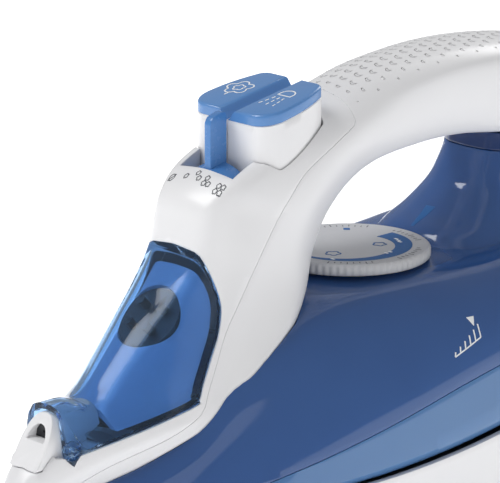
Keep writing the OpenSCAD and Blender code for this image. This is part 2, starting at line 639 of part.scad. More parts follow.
module filler_tray() {
    color(clear_blue) difference() {
        intersection() {
            envelope(8.3, 3.6, 8.4);
            cap_region(1.5);
        }
        envelope(10, 3, 9);
        in_neck() cylinder(r = neck_r + neck_wall + fit_gap, h = 80, center = true, $fn = 32);
        translate([-far / 2, -far - 92 * k.y, 0]) cube(far);
    }
}
module filler_neck() {
    color(clear_blue) in_neck() translate([0, 0, -neck_l]) difference() {
        cylinder(r = neck_r + neck_wall, h = neck_l + plug_seat, $fn = 64);
        translate([0, 0, -1]) cylinder(r = neck_r, h = far, $fn = 64);
    }
}

// ---- Spray nozzle ----
function d_half(gap) = [[0, 43.6 * k.z + gap], [4.1 - gap, 43.6 * k.z + gap], [3.6 - gap, 46 * k.z],
    [2 - gap / 2, 48 * k.z - gap], [0, 48.6 * k.z - gap]];
module d_block(gap, from_y, to_y) {
    h = d_half(gap);
    translate([0, to_y, 0]) rotate([90, 0, 0]) linear_extrude(to_y - from_y)
        polygon(concat(h, [for (i = [len(h) - 2:-1:1]) [-h[i].x, h[i].y]]));
}
insert_y = [-115.5 * k.y, -107 * k.y];
module nozzle_housing() {
    color(white) difference() {
        nozzle_block(0, 60);
        d_block(0, -130 * k.y, insert_y[1]);
        translate([0, insert_y[1] - 1, 45.8 * k.z]) rotate([-90, 0, 0]) cylinder(r = hose_r + 0.6,
            h = 30, $fn = 32);
        translate(hinge_at) rotate([0, 90, 0]) cylinder(r = hinge_pin_r + run_gap, h = 60,
            center = true, $fn = 32);
        side_prism(in_side([[-104, 37.5], [-104, 43], [-90, 50], [-90, 30]]));
    }
}
module spray_nozzle() {
    color(dark) difference() {
        d_block(0.1, insert_y[0], insert_y[1] - 2);
        translate([0, -130 * k.y, 45.8 * k.z]) rotate([-90, 0, 0]) cylinder(r = jet_r, h = 60, $fn = 24);
    }
}
// A tube of radius r with n sides along a list of points.
function side_of(t) = let (s = cross(t, [0, 0.05, 1])) norm(s) < 0.01 ? [1, 0, 0] : s / norm(s);
module swept(points, r, n) {
    m = len(points);
    rings = [for (i = [0:m - 1]) let (t = points[min(i + 1, m - 1)] - points[max(i - 1, 0)],
        u = side_of(t / norm(t)), v = cross(u, t / norm(t)))
        for (j = [0:n - 1]) points[i] + r * (u * cos(360 * j / n) + v * sin(360 * j / n))];
    faces = concat([[for (j = [0:n - 1]) j]], [[for (j = [n - 1:-1:0]) (m - 1) * n + j]],
        [for (i = [0:m - 2], j = [0:n - 1], h = [0, 1]) let (a = i * n + j, b = i * n + (j + 1) % n)
            h == 0 ? [a, a + n, b + n] : [a, b + n, b]]);
    polyhedron(rings, faces);
}
hose_r = 1.7;
hose_route = [[9, -25.4, 81.6], [9.5, -26.5, 78], [12, -30, 74.2], [15, -36, 69.6], [16.5, -44, 63.8],
    [17, -53, 57.8],
    [16.6, -63, 51.6], [15, -74, 46.4], [11.5, -84, 44.2], [6, -91.5, 44.4], [1.6, -96, 45.5],
    [0, -99.5, 45.8], [0, -102.5, 45.8], [0, -105.5, 45.8]];
module spray_hose() {
    color(grey) swept([for (i = [0:0.5:len(hose_route) - 1]) let (p = row_at(hose_route, i)) at(p.x,
        p.y, p.z)], hose_r, 8);
}

// ---- Steam lever and needle valve ----
lever_tilt = 16.5;
lever_len = 7.2;
drum_t = 2.4;
drum_half_angle = 52;
hub_r = 3.4;
pin_r = 1.5;
lever_front = at(0, -46.4, 118.4);
// Local frame of the lever: z runs back along its axis and -y points up out of the drum.
module in_lever() {
    translate(lever_front + lever_drum_r * [0, sin(lever_tilt), -cos(lever_tilt)])
        rotate([lever_tilt - 90, 0, 0]) children();
}
module wedge(r, half_angle) {
    polygon(concat([[0, 0]], [for (a = [-half_angle:half_angle / 4:half_angle]) r * [sin(a), -cos(a)]]));
}
module lever_opening() {
    translate([0, 0, -1]) linear_extrude(lever_len + 2.6) {
        circle(r = lever_drum_r + 0.4, $fn = 48);
        translate([-12.6, -60]) square([25.2, 60]);
    }
}
module steam_lever() {
    color(control_blue) in_lever() difference() {
        union() {
            translate([0, 0, -0.5]) linear_extrude(lever_len - 0.8) {
                intersection() {
                    difference() {
                        circle(r = lever_drum_r, $fn = 96);
                        circle(r = lever_drum_r - drum_t, $fn = 96);
                    }
                    wedge(2 * lever_drum_r, drum_half_angle);
                }
                circle(r = hub_r, $fn = 48);
                translate([-1.2, -lever_drum_r + 1]) square([2.4, lever_drum_r - 2]);
            }
            fin();
        }
        translate([0, 0, -9]) cylinder(r = pin_r + run_gap, h = 40, $fn = 48);
    }
}
// The fin is a flat blade with round corners, and it stands upright on the tilted drum.
module fin() {
    top = lever_drum_r + lever_fin_h;
    c = 2.2;
    blade = concat([[-lever_drum_r + 1, 0], [-lever_drum_r + 1, lever_len]],
        [for (a = [0:30:90]) [-top + c - c * sin(a), lever_len - c + c * cos(a)]],
        [for (a = [0:30:90]) [-top + c - c * cos(a), c - c * sin(a)]]);
    translate([-lever_fin_t / 2, 0, 0]) rotate([90, 0, 90]) linear_extrude(lever_fin_t)
        polygon([for (p = blade) [p.x, p.y - (p.x + lever_drum_r) * tan(lever_tilt)]]);
}
bracket_z = [-3, lever_len - 0.8];
bracket_t = 1.8;
module lever_bracket() {
    color(grey) in_lever() difference() {
        union() {
            for (z = bracket_z) translate([-4, -3, z]) cube([8, 10, bracket_t]);
            translate([-4, 4.6, bracket_z[0]]) cube([8, 2.4, bracket_z[1] - bracket_z[0] + bracket_t]);
        }
        translate([0, 0, -9]) cylinder(r = pin_r + run_gap, h = 40, $fn = 48);
    }
}
module lever_pin() {
    color(steel) in_lever() translate([0, 0, bracket_z[0]]) cylinder(r = pin_r,
        h = bracket_z[1] - bracket_z[0] + bracket_t, $fn = 48);
}
rod_foot = casting_top + cover_t + 0.6;
rod_top = 88 * k.z;
module needle_rod() {
    color(steel) {
        translate([rod_at.x, rod_at.y, rod_foot]) cylinder(r = rod_r, h = rod_top - rod_foot, $fn = 32);
        translate([rod_at.x, rod_at.y, rod_top - 2]) rotate([90, 0, 0]) cylinder(r = 1.5, h = 12 * k.y,
            $fn = 32);
    }
}
module needle_seat() {
    color(steel) translate([rod_at.x, rod_at.y, casting_top + cover_t]) difference() {
        cylinder(r = 4.2, h = 3, $fn = 48);
        translate([0, 0, -1]) cylinder(r = rod_r + run_gap, h = 9, $fn = 48);
    }
}

// ---- Push buttons, springs and pumps ----
button_slope = 11;
button_front = -38 * k.y;
button_rear = -8.5 * k.y;
button_side_gap = 0.45;
button_top_z = 136.5 * k.z;
button_foot_z = 113 * k.z;
front_round = 7.5;
button_wall = 1.8;
pump_at = [9 * k.x, -25.4 * k.y];
pump_z = [82 * k.z, 105 * k.z];
piston_bore = pump_r - 1.6;
piston_z = pump_z[1] - 12;
// Plan outline of the button at x > 0, drawn in by inset.
module button_outline(inset) {
    x0 = button_side_gap + inset;
    x1 = button_side_gap + button_w - inset;
    f = button_front + inset;
    b = button_rear - inset;
    rear_x = x1 - 7.5;
    polygon(concat([[x0, f]], [for (a = [-90:15:0]) [x1 - front_round + front_round * cos(a),
        f + front_round + front_round * sin(a)]],
        [for (t = [0.2:0.2:0.8]) bend([x1, f + front_round], [x1, b - 12], [rear_x + 4, b - 3.4], t)],
        [for (a = [30:20:90]) [rear_x + 4 * cos(a), b - 4 + 4 * sin(a)]], [[x0, b]]));
}
// Local frame of the buttons' sloping top: z = 0 is the top face.
module in_button_top() { translate([0, button_front, button_top_z]) rotate([button_slope, 0, 0]) children(); }
module below_top(drop) {
    in_button_top() translate([-far / 2, -far / 2, -far - drop]) cube(far);
}
// The two caps lean down to each other and leave a V between them.
module v_groove() {
    in_button_top() translate([0, far / 2, 0]) rotate([90, 0, 0]) linear_extrude(far)
        polygon([[-9, 1], [4.2, 1], [3.6, 0], [1.2, -3], [-9, -3.8]]);
}
module button_body() {
    color(white) difference() {
        intersection() {
            translate([0, 0, button_foot_z]) linear_extrude(60) button_outline(0);
            below_top(button_cap_t);
        }
        intersection() {
            translate([0, 0, button_foot_z - 1]) linear_extrude(60) button_outline(button_wall);
            below_top(button_cap_t + 2);
        }
        v_groove();
        translate([-far / 2, button_front - far + 1.9, button_foot_z - far + 2]) cube(far);
    }
}
module button_cap() {
    color(control_blue) difference() {
        intersection() {
            translate([0, 0, button_foot_z]) linear_extrude(60) button_outline(0);
            below_top(0);
        }
        below_top(button_cap_t);
        v_groove();
    }
}
plunger_top = button_top_z - button_cap_t - 2.3 + (pump_at.y - button_front) * tan(button_slope);
module plunger() {
    color(grey) translate([pump_at.x, pump_at.y, 0]) {
        translate([0, 0, piston_z]) cylinder(r = piston_bore - run_gap, h = 5, $fn = 48);
        translate([0, 0, piston_z]) cylinder(r = 1.9, h = plunger_top - piston_z - 0.5, $fn = 32);
    }
}
module pump() {
    color(grey) translate([pump_at.x, pump_at.y, pump_z[0]]) difference() {
        cylinder(r = pump_r, h = pump_z[1] - pump_z[0], $fn = 64);
        translate([0, 0, 3]) cylinder(r = piston_bore, h = far, $fn = 64);
    }
}
spring_turns = 5;
spring_r = 4.2;
wire_r = 0.55;
spring_z = [pump_z[1] + wire_r + 0.1, plunger_top - wire_r - 1.8];
module spring() {
    n = spring_turns * 10;
    color(steel) swept([for (i = [0:n]) [pump_at.x + spring_r * cos(36 * i), pump_at.y + spring_r * sin(36 * i),
        spring_z[0] + (spring_z[1] - spring_z[0]) * i / n]], wire_r, 6);
}
module spray_button_body() { button_body(); }
module spray_button_cap() { button_cap(); }
module spray_plunger() { plunger(); }
module spray_pump() { pump(); }
module spray_spring() { spring(); }
module steam_button_body() { mirror([1, 0, 0]) button_body(); }
module steam_button_cap() { mirror([1, 0, 0]) button_cap(); }
module steam_plunger() { mirror([1, 0, 0]) plunger(); }
module steam_pump() { mirror([1, 0, 0]) pump(); }
module steam_spring() { mirror([1, 0, 0]) spring(); }
module steam_tube() {
    foot = casting_top + cover_t + 0.4;
    color(grey) translate([tube_at.x, tube_at.y, foot]) difference() {
        cylinder(r = tube_r, h = pump_z[0] - foot, $fn = 32);
        translate([0, 0, -1]) cylinder(r = tube_r - 0.9, h = far, $fn = 32);
    }
}

// ---- Temperature dial ----
dial_z = 78.3 * k.z;
rib_count = 72;
rib_depth = 0.5;
module dial() {
    color(grey) translate([dial_at.x, dial_at.y, dial_z]) difference() {
        linear_extrude(dial_h) polygon([for (i = [0:2 * rib_count - 1]) let (a = 180 * i / rib_count)
            (dial_r - (i % 2) * rib_depth) * [cos(a), sin(a)]]);
        translate([0, 0, -1]) cylinder(r = dial_shaft_r + run_gap, h = dial_h - 1, $fn = 48);
    }
}
shaft_foot = casting_top + cover_t + 2.2;
module dial_shaft() {
    color(grey) translate([dial_at.x, dial_at.y, shaft_foot])
        cylinder(r = dial_shaft_r, h = dial_z + dial_h - 2.1 - shaft_foot, $fn = 48);
}
module thermostat() {
    color(steel) translate([dial_at.x, dial_at.y, casting_top + cover_t]) difference() {
        cylinder(r = 11, h = 6, $fn = 64);
        translate([0, 0, 2]) cylinder(r = dial_shaft_r + run_gap, h = 9, $fn = 48);
    }
}

soleplate();
heater_casting();
heating_element();
steam_chamber_cover();
heat_skirt();
rear_base();
sole_screws();
tank_lower_band();
tank_shell();
shaft_well();
handle_body();
front_cover();
handle_underside();
handle_screws();
rear_bridge();
rear_cover();
heel_pads();
rear_screws();
filler_cap();
cap_hinge_pin();
filler_plug();
filler_plug_ring();
filler_tray();
filler_neck();
nozzle_housing();
spray_nozzle();
steam_lever();
lever_bracket();
lever_pin();
needle_rod();
needle_seat();
spray_button_body();
spray_button_cap();
steam_button_body();
steam_button_cap();
spray_spring();
steam_spring();
spray_plunger();
steam_plunger();
spray_pump();
steam_pump();
spray_hose();
steam_tube();
dial();
dial_shaft();
thermostat();
cord_gland();
gland_collar();
terminal_block();
inner_wires();
thermal_fuse();
pilot_lens();
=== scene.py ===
"""Looks of a household steam iron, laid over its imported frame. Sizes in this file are millimetres until a mesh is
made."""
import math

import bmesh
import bpy
import numpy as np
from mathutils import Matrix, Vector


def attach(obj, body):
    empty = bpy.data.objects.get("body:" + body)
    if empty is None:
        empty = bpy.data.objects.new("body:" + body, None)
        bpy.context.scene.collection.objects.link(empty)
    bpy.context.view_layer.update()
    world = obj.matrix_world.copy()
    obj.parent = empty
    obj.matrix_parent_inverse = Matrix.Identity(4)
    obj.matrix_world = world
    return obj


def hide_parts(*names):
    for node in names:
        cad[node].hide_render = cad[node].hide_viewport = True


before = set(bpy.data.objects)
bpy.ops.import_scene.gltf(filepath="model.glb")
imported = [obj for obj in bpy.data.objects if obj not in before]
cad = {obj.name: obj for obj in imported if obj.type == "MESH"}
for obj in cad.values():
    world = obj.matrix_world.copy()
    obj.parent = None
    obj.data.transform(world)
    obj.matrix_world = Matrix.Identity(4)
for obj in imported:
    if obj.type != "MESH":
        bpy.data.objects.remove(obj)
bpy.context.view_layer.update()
MM = 0.001

# ---- Curves, rows and sections ----


def mix(a, b, t):
    """The point a part t of the way from a to b."""
    return a + (b - a) * t


def bend(a, pull, b, t):
    """Quadratic curve from a to b that is pulled towards a third point, at t from 0 to 1."""
    return mix(mix(a, pull, t), mix(pull, b, t), t)


def read_rows(rows, t):
    """Rows of a table read at fractional row numbers t, on a Catmull-Rom curve through the rows."""
    rows = np.asarray(rows, float)
    t = np.atleast_1d(t)
    n = len(rows) - 1
    i = np.clip(np.floor(t).astype(int), 0, n - 1)
    u = (t - i)[:, None]
    p0, p1, p2, p3 = rows[np.maximum(i - 1, 0)], rows[i], rows[i + 1], rows[np.minimum(i + 2, n)]
    return 0.5 * (2 * p1 + (p2 - p0) * u + (2 * p0 - 5 * p1 + 4 * p2 - p3) * u**2 + (3 * p1 - p0 - 3 * p2 + p3) *
    u**3)


def smooth_line(points, each=6):
    """A line of points read more finely on a Catmull-Rom curve, with `each` steps between neighbours."""
    return read_rows(points, np.linspace(0, len(points) - 1, (len(points) - 1) * each + 1))


def closed_rings(half):
    """Whole rings from half rings (rings, points, 3) that run from the middle plane at x = 0 back to it."""
    other = half[:, -2:0:-1] * [-1, 1, 1]
    return np.concatenate([half, other], axis=1)


def eased(rings, times):
    """Rings whose corners are eased: each point moves to a quarter of both neighbours and half of itself, several
    times."""
    for _ in range(times):
        rings = (np.roll(rings, 1, axis=1) + 2 * rings + np.roll(rings, -1, axis=1)) / 4
    return rings


def polyline_fine(points, counts):
    """Points (rows, corners, 3) joined by straight runs with a given count of steps in each."""
    runs = [mix(points[:, i : i + 1], points[:, i + 1 : i + 2],
        np.linspace(0, 1, c, endpoint=False)[None, :, None]) for i, c in enumerate(counts)]
    return np.concatenate(runs + [points[:, -1:]], axis=1)


# ---- Meshes ----


def piece_of(name, verts, faces):
    """A mesh object from points in millimetres and lists of corners, with its faces turned outwards."""
    mesh = bpy.data.meshes.new(name)
    mesh.from_pydata((np.asarray(verts, float) * MM).tolist(), [], faces)
    obj = bpy.data.objects.new(name, mesh)
    bpy.context.scene.collection.objects.link(obj)
    turned_outwards(mesh)
    return obj


def turned_outwards(mesh):
    """Merges doubled points and turns the faces of a closed mesh outwards."""
    bm = bmesh.new()
    bm.from_mesh(mesh)
    bmesh.ops.remove_doubles(bm, verts=bm.verts, dist=2e-7)
    bmesh.ops.recalc_face_normals(bm, faces=bm.faces)
    bm.to_mesh(mesh)
    bm.free()


def lofted(name, rings):
    """A closed piece through rings (rings, points round, 3): neighbours make four-sided faces, and both ends are
    filled."""
    m, n = rings.shape[:2]
    i, j = np.meshgrid(np.arange(m - 1), np.arange(n), indexing="ij")
    a, b = i * n + j, i * n + (j + 1) % n
    quads = np.stack([a, b, b + n, a + n], -1).reshape(-1, 4).tolist()
    ends = [list(range(n))[::-1], list(range((m - 1) * n, m * n))]
    return piece_of(name, rings.reshape(-1, 3), quads + ends)


def across(name, line, reach=90):
    """A side-view outline of [y, z] points carried across the body from x = -reach to +reach."""
    line = np.asarray(line, float)
    rings = np.stack([np.column_stack([np.full(len(line), x), line]) for x in (-reach, reach)])
    return lofted(name, rings)


def upright(name, plan, low, high):
    """A plan outline of [x, y] points carried up from low to high."""
    plan = np.asarray(plan, float)
    return lofted(name, np.stack([np.column_stack([plan, np.full(len(plan), z)]) for z in (low, high)]))


def tube_about(name, radius, low, high, place, sides=64):
    """A cylinder of a radius from low to high along its own axis, then put in place by a function of points."""
    a = np.linspace(0, 2 * math.pi, sides, endpoint=False)
    rings = np.stack([np.column_stack([radius * np.cos(a), radius * np.sin(a), np.full(sides, z)]) for z in (low,
        high)])
    return lofted(name, place(rings))


def baked(obj):
    """The piece with its modifiers applied."""
    graph = bpy.context.evaluated_depsgraph_get()
    mesh = bpy.data.meshes.new_from_object(obj.evaluated_get(graph))
    obj.modifiers.clear()
    obj.data = mesh
    return obj


def cut(obj, *steps):
    """The piece after each (operation, tool) in turn, where the operation is DIFFERENCE, INTERSECT or UNION."""
    for operation, tool in steps:
        mod = obj.modifiers.new("cut", "BOOLEAN")
        mod.operation, mod.object, mod.solver = operation, tool, "EXACT"
    baked(obj)
    for _, tool in steps:
        if tool.name in bpy.data.objects:
            bpy.data.objects.remove(tool)
    return obj


def soft_edges(obj, width=0.3, segments=2, angle=38):
    """Shades the piece smoothly, except across edges sharper than the angle, which get a small round."""
    obj.data.shade_smooth()
    if width:
        mod = obj.modifiers.new("round", "BEVEL")
        mod.width, mod.segments, mod.limit_method = width * MM, segments, "ANGLE"
        mod.angle_limit, mod.harden_normals = math.radians(angle), False
        baked(obj)
    obj.data.shade_smooth()
    obj.data.set_sharp_from_angle(angle=math.radians(angle))
    return obj


def fitted(obj, body, material, slot, *nodes):
    """The piece rides on a body, wears a material, and stands for the CAD nodes named; the slot argument is not used.
    """
    obj.data.materials.clear()
    obj.data.materials.append(material)
    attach(obj, body)
    if nodes:
        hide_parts(*nodes)
    return obj


# ---- Materials ----


def linear(code):
    """A colour for the shader from an sRGB hex code."""
    c = np.array([int(code[i : i + 2], 16) for i in (1, 3, 5)]) / 255
    c = np.where(c <= 0.04045, c / 12.92, ((c + 0.055) / 1.055) ** 2.4)
    return (*c.tolist(), 1.0)


def add(tree, kind, settings=None, inputs=None):
    """A new node with its settings; an input is a value or another node's output, which is linked."""
    node = tree.nodes.new(kind)
    for key, value in (settings or {}).items():
        setattr(node, key, value)
    for key, value in (inputs or {}).items():
        if isinstance(value, bpy.types.NodeSocket):
            tree.links.new(value, node.inputs[key])
        else:
            node.inputs[key].default_value = value
    return node


def started(name, sockets):
    """A new material, its node tree, its shader with the given sockets set, and its Object coordinates."""
    mat = bpy.data.materials.new(name)
    mat.use_nodes = True
    tree = mat.node_tree
    shader = tree.nodes["Principled BSDF"]
    for key, value in sockets.items():
        shader.inputs[key].default_value = value
    place = add(tree, "ShaderNodeTexCoord").outputs["Object"]
    return mat, tree, shader, place


def moulded(tree, shader, place, pale, deep, grain, depth, rough):
    """Colour that drifts between two close shades over 40 mm, mould grain of a size and depth in mm, and uneven
    gloss."""
    drift = add(tree, "ShaderNodeTexNoise", None, {"Vector": place, "Scale": 1000 / 40, "Detail": 2.0})
    shades = add(tree, "ShaderNodeMix", {"data_type": "RGBA"},
        {0: drift.outputs[0], 6: linear(pale), 7: linear(deep)})
    tree.links.new(shades.outputs[2], shader.inputs["Base Color"])
    fine = add(tree, "ShaderNodeTexNoise", None, {"Vector": place, "Scale": 1000 / grain, "Detail": 3.0})
    gloss = add(tree, "ShaderNodeMapRange", None, {"Value": fine.outputs[0], "To Min": rough * 0.85,
        "To Max": rough * 1.2})
    tree.links.new(gloss.outputs[0], shader.inputs["Roughness"])
    bump = add(tree, "ShaderNodeBump", None, {"Height": fine.outputs[0], "Distance": depth * MM, "Strength": 0.6})
    tree.links.new(bump.outputs[0], shader.inputs["Normal"])
    return bump


def white_abs():
    """Moulded ABS from a polished tool: bright, with a soft gloss and a very slight flow ripple."""
    mat, tree, shader, place = started("white_abs", {"IOR": 1.54, "Coat Weight": 0.15, "Coat Roughness": 0.15})
    moulded(tree, shader, place, "#f4f4f5", "#ededf0", 6.0, 0.02, 0.3)
    return mat


def dimpled_abs():
    """The same ABS on the grip, with crescent dimples on a 4.6 mm staggered grid that fade out towards the sides and
    the front."""
    mat, tree, shader, place = started("dimpled_white_abs", {"IOR": 1.54, "Coat Weight": 0.12,
        "Coat Roughness": 0.15})
    bump = moulded(tree, shader, place, "#f4f4f5", "#ededf0", 6.0, 0.02, 0.32)

    def calc(operation, *values):
        return add(tree, "ShaderNodeMath", {"operation": operation}, dict(enumerate(values))).outputs[0]

    parts = add(tree, "ShaderNodeSeparateXYZ", None, {0: place}).outputs
    pitch = 4.6 * MM
    row = calc("DIVIDE", parts[1], pitch)
    shift = calc("MULTIPLY", calc("MODULO", calc("FLOOR", calc("ADD", row, 100.0)), 2.0), 0.5)
    column = calc("ADD", calc("DIVIDE", parts[0], pitch), calc("ADD", shift, 100.0))
    u = calc("SUBTRACT", calc("FRACT", column), 0.5)
    v = calc("SUBTRACT", calc("FRACT", calc("ADD", row, 100.0)), 0.5)
    side = calc("ABSOLUTE", parts[0])
    fade = calc("MULTIPLY",
                add(tree, "ShaderNodeMapRange", None, {"Value": side, "From Min": 7 * MM, "From Max": 17 * MM,
                    "To Min": 1.0, "To Max": 0.0}).outputs[0],
                add(tree, "ShaderNodeMapRange", None, {"Value": parts[1], "From Min": -2 * MM,
                    "From Max": 12 * MM}).outputs[0])
    radius = calc("MULTIPLY", fade, 0.33)
    outer = calc("SQRT", calc("ADD", calc("POWER", u, 2.0), calc("POWER", v, 2.0)))
    inner = calc("SQRT", calc("ADD", calc("POWER", u, 2.0), calc("POWER", calc("SUBTRACT", v, 0.2), 2.0)))
    disc = add(tree, "ShaderNodeMapRange", {"interpolation_type": "SMOOTHSTEP"},
        {"Value": calc("SUBTRACT", radius, outer), "From Min": 0.0, "From Max": 0.1}).outputs[0]
    rest = add(tree, "ShaderNodeMapRange", {"interpolation_type": "SMOOTHSTEP"},
        {"Value": calc("SUBTRACT", inner, calc("MULTIPLY", radius, 0.8)), "From Min": -0.05,
        "From Max": 0.08}).outputs[0]
    crescent = calc("MULTIPLY", disc, rest)
    top = add(tree, "ShaderNodeMapRange", None, {"Value": parts[2], "From Min": 121 * MM,
        "From Max": 124 * MM}).outputs[0]
    deep = add(tree, "ShaderNodeBump", {"invert": True}, {"Height": calc("MULTIPLY", crescent, top),
        "Distance": 0.9 * MM, "Strength": 1.0, "Normal": bump.outputs[0]})
    tree.links.new(deep.outputs[0], shader.inputs["Normal"])
    return mat


def coloured_plastic(name, pale, deep, rough=0.25, coat=0.2, ior=1.5):
    """Self-coloured moulded plastic with a satin gloss and fine mould grain."""
    mat, tree, shader, place = started(name, {"IOR": ior, "Coat Weight": coat, "Coat Roughness": 0.1})
    moulded(tree, shader, place, pale, deep, 2.5, 0.015, rough)
    return mat


def tinted_clear(name, pale, deep, clear, rough, ior=1.5):
    """Tinted transparent plastic from a polished tool: part of the light passes, and its colour drifts with the
    wall."""
    mat, tree, shader, place = started(name, {"IOR": ior, "Transmission Weight": clear})
    moulded(tree, shader, place, pale, deep, 14.0, 0.03, rough)
    return mat


def polished_steel():
    """Stainless sheet, ground along its length and polished, so its reflections streak from front to rear."""
    mat, tree, shader, place = started("polished_steel", {"Metallic": 1.0})
    stretch = add(tree, "ShaderNodeMapping", None, {"Vector": place, "Scale": (900.0, 12.0, 900.0)})
    streaks = add(tree, "ShaderNodeTexNoise", None, {"Vector": stretch.outputs[0], "Scale": 1.0, "Detail": 3.0})
    shades = add(tree, "ShaderNodeMix", {"data_type": "RGBA"},
        {0: streaks.outputs[0], 6: linear("#d5d6d9"), 7: linear("#bfc1c5")})
    tree.links.new(shades.outputs[2], shader.inputs["Base Color"])
    gloss = add(tree, "ShaderNodeMapRange", None, {"Value": streaks.outputs[0], "To Min": 0.1, "To Max": 0.26})
    tree.links.new(gloss.outputs[0], shader.inputs["Roughness"])
    bump = add(tree, "ShaderNodeBump", None, {"Height": streaks.outputs[0], "Distance": 0.01 * MM, "Strength": 0.3})
    tree.links.new(bump.outputs[0], shader.inputs["Normal"])
    return mat


def cast_metal():
    """Die-cast aluminium: grey, grainy and dull from the mould's release coat."""
    mat, tree, shader, place = started("die_cast_aluminium", {"Metallic": 1.0})
    moulded(tree, shader, place, "#a3a5a8", "#8d8f93", 1.2, 0.05, 0.5)
    return mat


def soft_rubber():
    """Silicone and rubber parts: dark, matt and slightly dusty."""
    mat, tree, shader, place = started("silicone_rubber", {"IOR": 1.41, "Specular IOR Level": 0.4})
    moulded(tree, shader, place, "#2b2c2f", "#222326", 0.8, 0.03, 0.65)
    return mat


def pad_print(name, code):
    """Pad-printed ink: an even matt film."""
    mat, tree, shader, place = started(name, {"IOR": 1.45})
    moulded(tree, shader, place, code, code, 1.0, 0.004, 0.5)
    return mat


white = white_abs()
grip_white = dimpled_abs()
navy = coloured_plastic("navy_abs", "#133a75", "#0d2c5e", 0.22)
blue = coloured_plastic("blue_abs", "#5f92cf", "#568ac8", 0.24)
lever_blue = coloured_plastic("lever_blue_abs", "#5088ca", "#4780c3", 0.26)
# Light grey for the dial and inner parts; on the lever troughs beside the drum the same grey is painted shade on white
# plastic.
grey = coloured_plastic("grey_abs_and_painted_shade", "#c9cacd", "#c2c3c7", 0.38, 0.05)
dark = coloured_plastic("black_polyamide", "#161a22", "#10141b", 0.35, 0.05)
tank_clear = tinted_clear("blue_polycarbonate", "#4471b6", "#3862a6", 0.35, 0.07, 1.58)
band_clear = tinted_clear("pale_blue_polycarbonate", "#6b9bd2", "#5c8dc9", 0.35, 0.07, 1.58)
cap_clear = tinted_clear("clear_blue_san", "#b0d2f6", "#a2c9f3", 0.97, 0.03, 1.3)
tray_blue = coloured_plastic("pale_blue_abs", "#bcd8f4", "#aecff1", 0.3)
steel = polished_steel()
cast = cast_metal()
rubber = soft_rubber()
amber = tinted_clear("amber_lens", "#f0a040", "#e89030", 0.6, 0.1)
white_ink = pad_print("white_ink", "#f4f6f8")
dark_ink = pad_print("dark_grey_ink", "#55585e")
blue_ink = pad_print("blue_ink", "#1c60a1")

carried = {
    "soleplate": steel, "heating_element": steel, "sole_screws": steel, "handle_screws": steel, "rear_screws": steel,
    "cap_hinge_pin": steel, "lever_pin": steel, "needle_rod": steel, "needle_seat": steel, "spray_spring": steel,
    "steam_spring": steel, "thermostat": steel, "thermal_fuse": steel, "heater_casting": cast,
    "steam_chamber_cover": cast,
    "handle_underside": white, "terminal_block": white, "rear_base": navy, "shaft_well": tank_clear,
    "filler_neck": tank_clear,
    "lever_bracket": grey, "spray_plunger": grey, "steam_plunger": grey, "spray_pump": grey, "steam_pump": grey,
    "dial_shaft": grey, "filler_plug": dark, "spray_nozzle": dark, "cord_gland": dark, "gland_collar": dark,
    "filler_plug_ring": rubber, "heel_pads": rubber, "spray_hose": rubber, "steam_tube": rubber, "inner_wires": rubber,
    "pilot_lens": amber}
for name, material in carried.items():
    cad[name].data.materials.clear()
    cad[name].data.materials.append(material)

# ---- White shells: one bent sweep from the nose up the column and back along the grip ----
# Each row: outer middle point y z, half facet and its drop, ridge x y z, lower corner x y z, inner middle point y z,
# bulge.
shell_rows = [
    [-134, 23.5, 2, 0.4, 4.5, -131, 22.5, 5.5, -129.5, 21, -127, 20, 0],
    [-127.5, 33, 4.5, 0.5, 11.5, -117, 30, 13, -113, 26.5, -109, 24.5, 0],
    [-118.5, 41, 6, 0.6, 18.5, -100, 37.5, 20.5, -94, 33.6, -90, 31, 0],
    [-108.5, 46.5, 6.5, 0.6, 24.5, -82, 43.5, 26, -77.5, 40.8, -73, 37.6, 0],
    [-98, 54, 6.8, 0.6, 27, -69.5, 48, 28.4, -66.5, 45.6, -62, 42.5, 0],
    [-88, 64.3, 8, 0.6, 26, -63, 55, 29.3, -58, 53, -52, 50, 0],
    [-79, 74, 9.3, 0.6, 24.3, -56.5, 64, 29.5, -49.5, 58.6, -42, 57, 0],
    [-69.5, 84, 10.8, 0.6, 22.8, -50.5, 73.5, 28, -40, 64, -32, 63, 0.5],
    [-62.5, 93.5, 12, 0.7, 22, -44.2, 82.8, 25.5, -30.5, 70, -23.5, 70.5, 1],
    [-60, 102.5, 12.8, 0.9, 21.6, -38, 92, 20, -21, 77.5, -16.5, 79.5, 2],
    [-57.6, 110, 13.4, 1.2, 21.5, -30.5, 100.3, 15, -14, 87, -11.5, 88.5, 3],
    [-51, 116.6, 16, 2.2, 21.6, -23.3, 107.1, 13.4, -7.8, 96.5, -5.8, 97, 3],
    [-41, 121.8, 17, 2.4, 21, -15.3, 114.1, 13.2, -0.8, 104, 0.8, 104, 3],
    [-26, 127.6, 16, 2.6, 20, -6, 121, 13.2, 6.5, 109, 7.5, 108.6, 3],
    [-10, 132.6, 13.5, 2.4, 18.6, 4.7, 126.1, 13.2, 14, 112, 15, 111.5, 3.2],
    [5, 138, 10.3, 2, 17.6, 15.5, 130.2, 13.2, 23, 113.8, 24, 113.2, 3.4],
    [21, 142.2, 10.3, 2, 17.3, 27, 134.4, 13.2, 34, 114.8, 34, 114.2, 3.4],
    [38.4, 144.6, 10.3, 2, 17.5, 41, 137.2, 13.2, 45, 115.4, 45, 114.7, 3.4],
    [56, 145.8, 10.5, 2, 18, 56, 138.6, 13.6, 58, 115, 58, 114.4, 3.4],
    [74, 145.4, 10.8, 2, 18.6, 73, 138.4, 15, 72, 113.4, 72, 112.8, 3.2],
    [90, 143.6, 11.2, 2, 19.4, 89, 136.6, 17, 88, 111.8, 88, 111.4, 2.6],
    [105, 140.2, 11.6, 2, 20, 104, 133, 19, 104, 110.6, 104, 110.4, 1.6],
    [118, 135.4, 12, 2, 20.5, 118, 128, 20.3, 118, 110.3, 118, 110.2, 0.6]]
